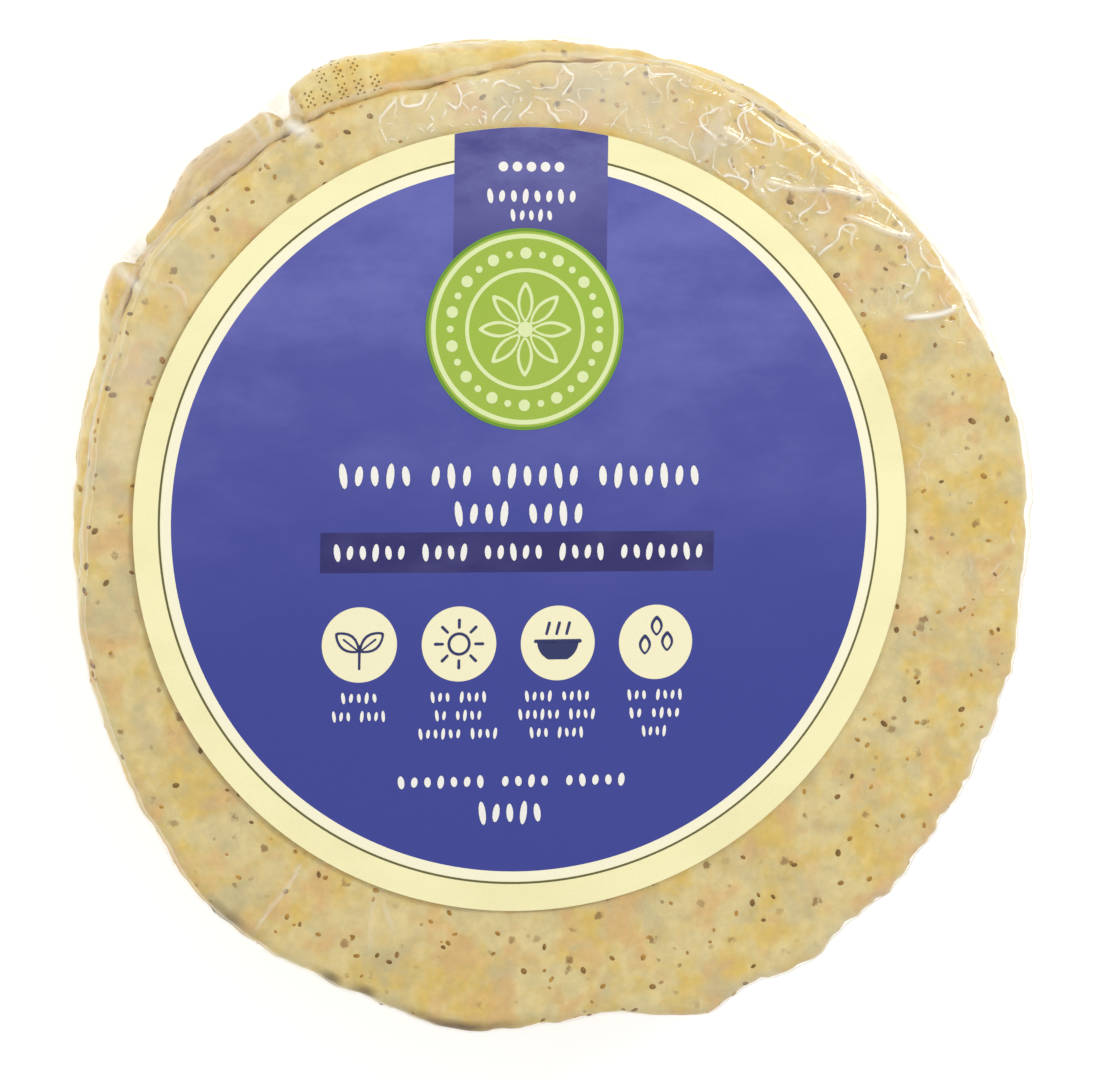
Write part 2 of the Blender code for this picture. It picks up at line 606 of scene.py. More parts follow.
@dataclass(frozen=True)
class SpeckFinish:
    """A seed's or a bran flake's coat, two colours mottled."""

    name: str
    dark: Colour
    light: Colour
    roughness: float = 0.5
    gloss: float = 0.15
    mottle_size: float = 0.9 * MM

    def material(self) -> bpy.types.Material:
        """Build the material.

        Returns:
            The material.
        """
        nodes = NodeTree(self.name)
        mottle = nodes.step(nodes.noise(nodes.place(), self.mottle_size), 0.35, 0.65)
        colour = nodes.blend(mottle, linear(self.dark), linear(self.light))
        coat = dict(Base_Color=colour, Roughness=self.roughness, Specular_IOR_Level=self.gloss)
        return nodes.finish(nodes.add("BsdfPrincipled", **coat))


@dataclass(frozen=True)
class Curls:
    """One size of the film's curling lines: their loops, half of a line's width, and their strength."""

    size: float
    half_width: float
    shift: int
    strength: float


@dataclass(frozen=True)
class FilmFinish:
    """Clear glossy film, milky where it is creased or stands off what it wraps; its white also paints
    highlights, reflections and glare.
    """

    name: str = "clear_film"
    # White of the film's haze and of its painted highlights.
    milk_highlight: Colour = (255, 252, 238)
    milk_roughness: float = 0.35
    gloss_roughness: float = 0.09
    mirror_share: float = 0.035
    least_haze: float = 0.006
    # How white the film gets from the vertices' milkiness and painted highlights, from the lines' painted
    # highlight, and from the painted glare over gathered film.
    milk_and_highlight_strength: float = 0.9
    line_highlight: float = 0.8
    gathered_glare: float = 0.07
    line_depth: float = 0.16 * MM
    bend_size: float = 3.4 * MM
    bend_reach: float = 2.6 * MM
    curls: tuple[Curls, Curls] = (Curls(5.0 * MM, 0.27 * MM, 1, 1.0), Curls(2.9 * MM, 0.17 * MM, 2, 0.75))
    probe: float = 0.05  # how far apart a slope is read, in loops
    # The halo is a painted reflection, a fainter white round each line.
    reflection_halo_width: float = 4.5  # in half widths of a line
    reflection_halo_strength: float = 0.3

    def curling(self, nodes: NodeTree, place: Socket, curls: Curls) -> Socket:
        """Draw thin broken lines that curl and loop, which give the film its bump and its painted white
        highlights.

        A line follows a noise's middle level. How far off it a place is comes from the noise's slope
        there, so that the line keeps one width.

        Args:
            nodes: The material's nodes.
            place: The coordinates that the lines follow.
            curls: The lines' sizes.

        Returns:
            The strength on a line, with a fainter painted reflection round it, falling to 0 further off.
        """
        plain = dict(detail=1, rough=0.5)
        level = nodes.noise(place, curls.size, shift=curls.shift, **plain)
        reach = self.probe * curls.size
        squares = []
        for aside in ((reach, 0.0, 0.0), (0.0, reach, 0.0)):
            moved = nodes.vector_math("ADD", place, aside)
            slope = nodes.math("SUBTRACT", nodes.noise(moved, curls.size, shift=curls.shift, **plain), level)
            squares.append(nodes.math("MULTIPLY", slope, slope))
        steepness = nodes.math("SQRT", nodes.math("ADD", *squares))
        steady = nodes.step(steepness, 0.12 * self.probe, 0.4 * self.probe)
        off = nodes.math("ABSOLUTE", nodes.math("SUBTRACT", level, 0.5))
        off = nodes.math("MULTIPLY", nodes.math("DIVIDE", off, nodes.math("MAXIMUM", steepness, 1e-4)), reach)
        gaps = nodes.noise(place, curls.size * 0.8, detail=2, rough=0.5, shift=curls.shift + 3)
        reflection_halo = nodes.step(off, curls.half_width * self.reflection_halo_width, 0.0)
        reflection_halo = nodes.math("MULTIPLY", reflection_halo, self.reflection_halo_strength)
        line = nodes.math("MAXIMUM", nodes.step(off, curls.half_width, curls.half_width * 0.3), reflection_halo)
        line = nodes.math("MULTIPLY", nodes.math("MULTIPLY", line, steady), nodes.step(gaps, 0.38, 0.53))
        return nodes.math("MULTIPLY", line, curls.strength)

    def material(self) -> bpy.types.Material:
        """Build the material.

        Returns:
            The material.
        """
        nodes = NodeTree(self.name)
        place = nodes.place()
        gathered = nodes.attribute("gathered")
        bend = nodes.add("TexNoise", Vector=place, Scale=1 / self.bend_size, Detail=1.0).outputs["Color"]
        reach = (self.bend_reach, self.bend_reach, 0.0)
        warped = nodes.vector_math("MULTIPLY_ADD", bend, reach, place)
        lines = nodes.math("MAXIMUM", *(self.curling(nodes, warped, curls) for curls in self.curls))
        lines = nodes.math("MULTIPLY", lines, nodes.step(gathered, 0.1, 0.5))
        relief = nodes.bump(lines, self.line_depth, 0.7)
        facing = nodes.add("LayerWeight", Blend=0.5, Normal=relief).outputs["Facing"]
        grazing = nodes.math("POWER", facing, 5.0)
        mirrored = nodes.math("MULTIPLY_ADD", grazing, 1 - self.mirror_share, self.mirror_share)
        white = (1, 1, 1, 1)
        clear = nodes.add("BsdfTransparent", Color=white)
        gloss = nodes.add("BsdfGlossy", Color=white, Roughness=self.gloss_roughness, Normal=relief)
        skin = nodes.mix_shaders(mirrored, clear, gloss)
        # Painted highlight and glare: the haze grows over gathered film, with the vertices' milkiness and
        # painted highlight, and on the curling lines.
        haze = nodes.math("MULTIPLY_ADD", gathered, self.gathered_glare, self.least_haze)
        haze = nodes.math("MULTIPLY_ADD", nodes.attribute("milk_and_highlight"), self.milk_and_highlight_strength, haze)
        haze = nodes.math("MAXIMUM", haze, nodes.math("MULTIPLY", lines, self.line_highlight))
        milk_highlight = nodes.add("BsdfPrincipled", Base_Color=linear(self.milk_highlight), Roughness=self.milk_roughness)
        return nodes.finish(nodes.mix_shaders(haze, skin, milk_highlight))


@dataclass(frozen=True)
class PrintFinish:
    """Ink on satin paper: a colour with faint clouds and paper grain."""

    name: str
    colour: Colour
    cloud: Colour | None = None
    cloud_size: float = 14 * MM
    cloud_start: float = 0.4
    cloud_end: float = 0.75
    cloud_low: float = -1.0
    cloud_high: float = -0.9
    cloud_shift: float = 0.0
    even_share: float = 0.0
    roughness: float = 0.42
    gloss: float = 0.25
    fibre_size: float = 0.25 * MM
    fibre_depth: float = 0.01 * MM
    fibre_shade: float = 0.05

    def material(self) -> bpy.types.Material:
        """Build the material.

        Returns:
            The material.
        """
        nodes = NodeTree(self.name)
        place = nodes.place()
        wide = nodes.add("Mapping", Vector=place, Scale=(0.55, 1.0, 1.0)).outputs[0]
        clouds = nodes.noise(wide, self.cloud_size, detail=5, rough=0.62, shift=self.cloud_shift)
        amount = nodes.step(clouds, self.cloud_start, self.cloud_end)
        amount = nodes.math("MULTIPLY_ADD", amount, 1 - self.even_share, self.even_share)
        upward = nodes.add("SeparateXYZ", Vector=place).outputs["Y"]
        amount = nodes.math("MULTIPLY", amount, nodes.step(upward, self.cloud_low, self.cloud_high))
        colour = nodes.blend(amount, linear(self.colour), linear(self.cloud or self.colour))
        fibres = nodes.noise(place, self.fibre_size, detail=2, rough=0.6)
        darker = nodes.math("MULTIPLY", nodes.step(fibres, 0.3, 0.8), self.fibre_shade)
        colour = nodes.blend(darker, colour, (0, 0, 0, 1))
        shader = nodes.add(
            "BsdfPrincipled",
            Base_Color=colour,
            Roughness=self.roughness,
            Specular_IOR_Level=self.gloss,
            Normal=nodes.bump(fibres, self.fibre_depth, 0.4),
        )
        return nodes.finish(shader)


# ---------------------------------------------------------------- the stack


@dataclass(frozen=True)
class Outline:
    """A smooth closed outline round the stack's axis, kept as the waves that shape it."""

    waves: Grid

    @classmethod
    def through(cls, directions: Grid, radii: Grid, samples: int = 96) -> "Outline":
        """Fit an outline through points.

        Args:
            directions: The points' directions.
            radii: The points' distances from the axis.
            samples: How many even places round the outline it passes through.

        Returns:
            The outline.
        """
        order = np.argsort(directions)
        even = np.arange(samples) * 360 / samples
        values = np.interp(even, directions[order], radii[order], period=360)
        return cls(np.fft.rfft(values) / samples)

    def radius(self, directions: Grid) -> Grid:
        """Read the outline.

        Args:
            directions: Where it is wanted.

        Returns:
            The distance from the axis in each direction.
        """
        turns = np.radians(directions)
        radii = np.full(turns.shape, self.waves[0].real)
        for number, wave in enumerate(self.waves[1:-1], start=1):
            radii += 2 * (wave.real * np.cos(number * turns) - wave.imag * np.sin(number * turns))
        return radii


@dataclass(frozen=True)
class Bulge:
    """A place round the stack where something is more, or with an amount below 0 less."""

    direction: float
    spread: float
    amount: float

    def at(self, directions: Grid, power: int = 2) -> Grid:
        """Its amount in each direction, which a power above 2 gives a flatter top."""
        off = (directions - self.direction + 180) % 360 - 180
        return self.amount * np.exp(-(np.abs(off / self.spread) ** power))


@dataclass(frozen=True)
class Relief:
    """One noise of an uneven surface: its height, the length of its waves and which noise it is."""

    height: float
    size: float
    grain: Grain

    def at(self, places: Grid) -> Grid:
        """Its height at each place."""
        return self.height * soft_noise(places, self.size, self.grain)


def total(parts: Iterable[Bulge | Relief], where: Grid) -> Grid:
    """What some bulges add up to in each direction, or some reliefs at each place."""
    return sum((part.at(where) for part in parts), np.zeros(len(where)))


@dataclass
class Stack:
    """The five stacked arepas' common sizes and surfaces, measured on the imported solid."""

    count: int = 5
    usual_radius: float = 62 * MM
    label_radius: float = 50 * MM
    crown_height: float = 0.9 * MM
    crown_reach: float = 60.1 * MM
    label_offset: Spot = (-4.5 * MM, 3.5 * MM)
    rim_depth: float = 2.5 * MM
    rim_power: float = 2.3
    stand_off: float = 0.35 * MM
    swell: Relief = Relief(0.12 * MM, 26 * MM, Grain.SWELL)
    lumps: tuple[Relief, ...] = (
        Relief(0.22 * MM, 5.5 * MM, Grain.COARSE_LUMPS),
        Relief(0.13 * MM, 2.3 * MM, Grain.MIDDLE_LUMPS),
        Relief(0.06 * MM, 1.0 * MM, Grain.FINE_LUMPS),
    )
    slack: tuple[Bulge, ...] = (
        Bulge(84, 9, 0.3 * MM),
        Bulge(52, 13, 0.8 * MM),
        Bulge(28, 9, 0.9 * MM),
        Bulge(6, 9, 0.45 * MM),
    )
    top_trims: tuple[Bulge, ...] = (
        Bulge(268, 6, -0.9 * MM),
        Bulge(282.5, 3, 0.9 * MM),
        Bulge(291, 5, -1.4 * MM),
        Bulge(308, 2.5, -1.0 * MM),
        Bulge(320, 5, -0.9 * MM),
    )
    notches: tuple[Bulge, ...] = (Bulge(144.4, 1.2, 3.8 * MM), Bulge(121.4, 1.15, 3.6 * MM))
    notched: int = 3
    edge_rag: tuple[Relief, ...] = (
        Relief(0.5 * MM, 4.6 * MM, Grain.EDGE_WAVES),
        Relief(0.42 * MM, 2.3 * MM, Grain.EDGE_RAG),
    )
    tear_depth: float = 0.7 * MM
    tear_size: float = 3.6 * MM
    least_ragged: float = 0.45
    ragged: tuple[Bulge, ...] = (Bulge(-45, 34, 1.0), Bulge(110, 60, 0.2), Bulge(288, 8, -0.3))
    edge_noise_apart: float = 30 * MM
    contact: float = 0.2 * MM
    free_slack: float = 0.4 * MM
    lip_lift: float = 2.6 * MM
    axis: Grid = field(init=False)
    label_centre: Grid = field(init=False)
    height: float = field(init=False)
    outlines: list[Outline] = field(init=False)

    def __post_init__(self) -> None:
        """Find the axis, the height and each arepa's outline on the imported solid."""
        label_low, label_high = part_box(LABEL_NODE)
        self.label_centre = np.array(((label_low + label_high) / 2).to_2d())
        self.axis = self.label_centre - np.array(self.label_offset)
        pack_low, pack_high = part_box(PACK_NODE)
        self.height = pack_high.z - pack_low.z - self.crown_height
        points = np.array([vert.co[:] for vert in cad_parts[PACK_NODE].data.vertices])
        across = points[:, :2] - self.axis
        self.outlines = []
        for number in range(self.count):
            level = (number + 0.5) * self.height / self.count
            ring = across[np.abs(points[:, 2] - level) < 0.05 * MM]
            directions = np.degrees(np.arctan2(ring[:, 1], ring[:, 0])) % 360
            radii = np.hypot(ring[:, 0], ring[:, 1]) - self.stand_off
            if number == self.top:
                radii = radii + total(self.top_trims, directions)
            self.outlines.append(Outline.through(directions, radii))

    @property
    def top(self) -> int:
        """Number of the top arepa, counted from 0 for the lowest."""
        return self.count - 1

    @property
    def thickness(self) -> float:
        """Thickness of one arepa."""
        return (self.height - 2 * self.stand_off) / self.count

    def base(self, number: int) -> float:
        """Height of the underside of the arepa of that number."""
        return self.stand_off + number * self.thickness

    def spread(self, directions: Grid, radii: Grid, heights: Grid) -> Grid:
        """Find places round the stack's axis.

        Args:
            directions: Their directions.
            radii: Their distances from the axis.
            heights: Their heights.

        Returns:
            The places, one row each.
        """
        places = on_level(np.tile(self.axis, (len(radii), 1)))
        places[:, 2] = heights
        push_out(places, directions, radii)
        return places

    def rim(self, rings: int, start: float = -90, end: float = 90) -> list[Spot]:
        """Points of a rim's rounded section.

        Args:
            rings: How many points there are.
            start: Where the section starts, from -90 at the lower face to 90 at the upper face.
            end: Where it ends.

        Returns:
            (part of the rim's depth that the point lies in from the widest edge, part of the thickness).
        """
        section = []
        for turn in np.radians(np.linspace(start, end, rings)):
            inset = 1 - abs(math.cos(turn)) ** (2 / self.rim_power)
            level = 0.5 + 0.5 * math.copysign(abs(math.sin(turn)) ** (2 / self.rim_power), turn)
            section.append((inset, level))
        return section

    def inset_at(self, levels: Grid) -> Grid:
        """How far a rim lies inside its widest edge, at parts of the thickness from 0 to 1."""
        off_middle = np.abs(2 * np.clip(levels, 0, 1) - 1) ** self.rim_power
        return self.rim_depth * (1 - (1 - off_middle) ** (1 / self.rim_power))

    def tight_edge(self, number: int, directions: Grid) -> Grid:
        """Distance from the axis to an arepa's edge as the film would follow it if it had no slack.

        Args:
            number: The arepa's number, 0 for the lowest.
            directions: Where it is wanted.

        Returns:
            The distance in each direction, with the rim's small tears and lumps.
        """
        turns = np.radians(directions)
        ring = self.usual_radius * np.column_stack([np.cos(turns), np.sin(turns)])
        places = on_level(ring, self.edge_noise_apart * number)
        strength = self.least_ragged + total(self.ragged, directions)
        torn = ramp(soft_noise(places, self.tear_size, Grain.EDGE_TEARS), 0.1, 0.35)
        torn = self.tear_depth * torn * np.clip(strength - 0.5, 0, 1)
        return self.outlines[number].radius(directions) + strength * total(self.edge_rag, places) - torn

    def edge(self, number: int, directions: Grid) -> Grid:
        """Distance from the axis to the widest edge of an arepa.

        Args:
            number: The arepa's number, 0 for the lowest.
            directions: Where it is wanted.

        Returns:
            The distance in each direction, less the film's slack there and any notch.
        """
        slack = total(self.slack, directions)
        pressed = self.contact * (1 - np.clip(slack / self.free_slack, 0, 1))
        return self.tight_edge(number, directions) + pressed - slack - self.notch(number, directions)

    def lift(self, number: int, directions: Grid) -> Grid:
        """How far an arepa's lip is pressed up where it sticks out beyond the arepa above it.

        Args:
            number: The arepa's number, 0 for the lowest.
            directions: Where it is wanted.

        Returns:
            The height that the lip gains in each direction.
        """
        if number == self.top:
            return np.zeros(len(directions))
        beyond = self.outlines[number].radius(directions) - self.outlines[number + 1].radius(directions)
        return self.lip_lift * ramp(beyond, 1.2 * MM, 3.0 * MM)

    def notch(self, number: int, directions: Grid) -> Grid:
        """How deep an arepa's notches cut into its rim in each direction."""
        return total(self.notches if number == self.notched else (), directions)

    def rise(self, places: Grid) -> Grid:
        """How far the front bulges over its rim at each place, from its crown and its slow swell."""
        part = np.hypot(*(places[:, :2] - self.axis).T) / self.crown_reach
        return self.crown_height * (1 - np.minimum(part, 1) ** 2) + self.swell.at(on_level(places[:, :2]))

    def label_cover(self, places: Grid, margin: float) -> Grid:
        """1 under the label, easing to 0 at a margin outside it, at each place."""
        off = np.hypot(*(places[:, :2] - self.label_centre).T)
        return 1 - ramp(off, self.label_radius, self.label_radius + margin)


def ringed_body(rings: int, columns: int) -> tuple[BMesh, Grid, Grid]:
    """Make a closed tube whose rings a maker then places one by one.

    Args:
        rings: How many rings of vertices there are, the first and last closed by a face.
        columns: How many vertices each ring has.

    Returns:
        The tube, each vertex's ring number and each vertex's direction.
    """
    bm = closed_turning([(1.0, float(ring)) for ring in range(rings)], columns, 1e-4)
    points = coordinates(bm)
    return bm, np.rint(points[:, 2]).astype(int), np.degrees(np.arctan2(points[:, 1], points[:, 0]))


@dataclass
class Arepa:
    """One arepa: a thin round cake of rice dough with a rounded, ragged rim."""

    stack: Stack
    number: int
    finish: DoughFinish
    # Directions where painted shade darkens the dough.
    painted_shades: tuple[Bulge, ...] = ()
    columns: int = 720
    rim_rings: int = 15
    outer_parts: tuple[float, ...] = (0.985, 0.97, 0.955, 0.93)
    face_step: float = 0.45 * MM
    shown_from: float = 41 * MM
    underside_step: float = 1.4 * MM
    gap: float = 0.02 * MM
    rag: tuple[Relief, ...] = (
        Relief(0.15 * MM, 3.4 * MM, Grain.COARSE_RAG),
        Relief(0.08 * MM, 1.2 * MM, Grain.FINE_RAG),
    )
    rag_sink: float = 0.08 * MM
    rag_limit: float = 0.1 * MM
    noise_apart: float = 310 * MM
    tree: BVHTree = field(init=False)

    def rings(self) -> list[tuple[float, float, float]]:
        """Its rings, from the middle of its underside to the middle of its upper face.

        Returns:
            (part of the flat face's radius, part of the rim's depth, part of the thickness) of each.
        """
        face = self.stack.crown_reach
        under = self.outer_parts[-1:]
        if self.number == 0:
            under = np.arange(3 * MM, face, self.underside_step) / face
        upper = self.outer_parts
        if self.number == self.stack.top:
            upper = np.arange(face - self.face_step, self.shown_from, -self.face_step) / face
        rim = [(1.0, inset, level) for inset, level in self.stack.rim(self.rim_rings)]
        return [(part, 1.0, 0.0) for part in under] + rim + [(part, 1.0, 1.0) for part in upper]

    def build(self) -> bpy.types.Object:
        """Shape and dress the arepa.

        Returns:
            The finished piece.
        """
        stack = self.stack
        on_top = self.number == stack.top
        rings = np.array(self.rings())
        bm, ring, direction = ringed_body(len(rings), self.columns)
        part, inset, level = rings[ring].T
        radius = part * (stack.edge(self.number, direction) - inset * stack.rim_depth)
        height = stack.base(self.number) + self.gap + level * (stack.thickness - 2 * self.gap)
        over = min(self.number + 1, stack.top)
        past = ramp(radius - stack.outlines[over].radius(direction), -0.9 * MM, 0.15 * MM)
        height = height + past * stack.lift(self.number, direction) * ramp(level, 0.5, 1.0)
        places = stack.spread(direction, radius, height)
        own_noise = places + np.array([0, 0, self.noise_apart * self.number])
        rag = total(self.rag, own_noise) * (1 + total(stack.ragged, direction))
        pull = np.minimum(rag - self.rag_sink, self.rag_limit) * (1 - inset * (part < 1))
        push_out(places, direction, pull * part)
        if on_top:
            relief = stack.rise(places) + total(stack.lumps, places)
            places[:, 2] += relief * ramp(level, 0.55, 1.0)
        elif self.number == 0:
            places[:, 2] += 0.5 * total(stack.lumps, places) * (level < 0.3)
        set_coordinates(bm, places)
        bm.normal_update()
        self.tree = BVHTree.FromBMesh(bm)
        # Painted shade: how strongly each vertex takes the dough's shade tint; on the top arepa only on its
        # rim, round the widest part.
        painted_shade = total(self.painted_shades, direction)
        if on_top:
            painted_shade = painted_shade * (1 - ramp(inset, 0.3, 0.8)) * (part > 0.999) * ramp(level, 0.2, 0.5)
        values = {"painted_shade": np.clip(painted_shade, 0, 1)}
        return add_piece(f"arepa_{self.number + 1}", bm, self.finish.material(), Slot.AREPA, values)


@dataclass
class Specks:
    """Chia seeds or bran flakes, half sunk in the dough."""

    stack: Stack
    arepas: Sequence[Arepa]
    name: str
    finish: SpeckFinish
    on_front: int
    on_rims: int
    on_underside: int
    half_length: tuple[float, float]
    slimness: tuple[float, float] = (0.55, 0.8)
    flatness: float = 0.7
    sunk_share: tuple[float, float] = (0.35, 0.7)
    front_reach: tuple[float, float] = (43 * MM, 61.5 * MM)
    underside_reach: float = 59 * MM
    seed: int = 1

    def hits(self, rng: random.Random) -> Iterable[tuple[Vector, Vector]]:
        """Find places on the dough.

        Args:
            rng: The source of the random places.

        Yields:
            A place and the surface's outward direction there.
        """
        stack = self.stack
        for _ in range(self.on_front):
            turn = rng.uniform(0, 360)
            reach = math.sqrt(rng.uniform(*(end**2 for end in self.front_reach)))
            start = Vector((*around(stack.axis, reach, turn), AFAR))
            yield from cast(self.arepas[-1].tree, start, DOWN)
        for _ in range(self.on_rims):
            arepa = rng.choice(self.arepas)
            turn = rng.uniform(0, 360)
            level = stack.base(arepa.number) + stack.thickness * rng.uniform(0.1, 0.9)
            start = Vector((*around(stack.axis, AFAR, turn), level))
            yield from cast(arepa.tree, start, Vector((*around((0, 0), -1, turn), 0)))
        for _ in range(self.on_underside):
            turn = rng.uniform(0, 360)
            reach = self.underside_reach * math.sqrt(rng.random())
            start = Vector((*around(stack.axis, reach, turn), -AFAR))
            yield from cast(self.arepas[0].tree, start, -DOWN)

    def placings(self) -> Iterable[Matrix]:
        """Draw each speck's place, size and lie.

        Yields:
            What sets the next speck in its place.
        """
        rng = random.Random(self.seed)
        for place, normal in self.hits(rng):
            length = rng.uniform(*self.half_length)
            width = length * rng.uniform(*self.slimness)
            depth = width * self.flatness
            spin = Matrix.Rotation(rng.uniform(0, math.tau), 4, "Z")
            sunk = place - normal * (depth * rng.uniform(*self.sunk_share))
            size = Matrix.Diagonal((length, width, depth, 1))
            yield Matrix.Translation(sunk) @ standing(normal) @ spin @ size

    def build(self) -> bpy.types.Object:
        """Shape and dress the specks as one piece.

        Returns:
            The finished piece.
        """
        unit = bmesh.new()
        bmesh.ops.create_uvsphere(unit, u_segments=8, v_segments=5, radius=1)
        bmesh.ops.recalc_face_normals(unit, faces=unit.faces)
        bm = copies(unit, self.placings())
        return add_piece(self.name, bm, self.finish.material(), Slot.SEED, sharp_angle=180)


# ---------------------------------------------------------------- the film


def rolled(values: Grid, axis: int, step: float, ball: float, wraps: bool) -> Grid:
    """Bridge the hollows of a surface that a ball rolled over it can't reach.

    Args:
        values: The surface's height at even places.
        axis: The axis of the values along which the ball rolls.
        step: Distance between places along that axis.
        ball: The ball's radius.
        wraps: Whether the last place is beside the first.

    Returns:
        The bridged surface.
    """
    reach = int(ball / step)
    length = values.shape[axis]
    offsets = range(-reach, reach + 1)
    drops = [math.sqrt(ball**2 - (offset * step) ** 2) for offset in offsets]
    padding = [(0, 0), (0, 0)]
    padding[axis] = (reach, reach)
    mode = "wrap" if wraps else "edge"

    def shifted(grid: Grid, start: int) -> Grid:
        """The grid's part that starts at a place of the padded axis."""
        return np.take(grid, range(start, start + length), axis=axis)

    padded = np.pad(values, padding, mode=mode)
    path = np.max([shifted(padded, i) + drop for i, drop in enumerate(drops)], axis=0)
    padded = np.pad(path, padding, mode=mode)
    return np.min([shifted(padded, i) - drop for i, drop in enumerate(drops)], axis=0)


@dataclass(frozen=True)
class Crease:
    """A sharp fold of the film on the front, between two places measured from the label's centre, with a
    painted white highlight along its crest.
    """

    start_mm: Spot
    end_mm: Spot
    height: float = 0.3 * MM
    width: float = 0.4 * MM
    # How white its painted highlight is.
    milk_highlight: float = 0.8
    bow_mm: float = 0.0
    sway: float = 0.25 * MM
    sway_length: float = 1.7 * MM
    longest_end: float = 2 * MM

    def share(self, places: Grid) -> Grid:
        """How near the fold's crest places are.

        Args:
            places: Flat places, measured from the label's centre.

        Returns:
            1 on the crest, falling to 0 beside it, for each place.
        """
        start = np.array(self.start_mm) * MM
        along = np.array(self.end_mm) * MM - start
        length = np.hypot(*along)
        along = along / length
        off = places - start
        run = off @ along
        side = off @ np.array([-along[1], along[0]])
        part = np.clip(run / length, 0, 1)
        side = side - 4 * self.bow_mm * MM * part * (1 - part)
        side = side + self.sway * np.sin(run / self.sway_length + start[0] / MM)
        end_ease = min(self.longest_end, length / 3)
        ends = ramp(run, 0, end_ease) * (1 - ramp(run, length - end_ease, length))
        return ends * crest(side, self.width)


@dataclass(frozen=True)
class Skin:
    """The film's vertices: how each lies round the stack and over its rims, and its place.

    Its part is of the flat face's radius, and its inset of the rim's depth. Drawn is how far from the
    axis film that bridges the rims lies there, and upper tells whether it is in the pack's upper half.
    """

    direction: Grid
    part: Grid
    inset: Grid
    height: Grid
    drawn: Grid
    radius: Grid
    places: Grid
    upper: Grid


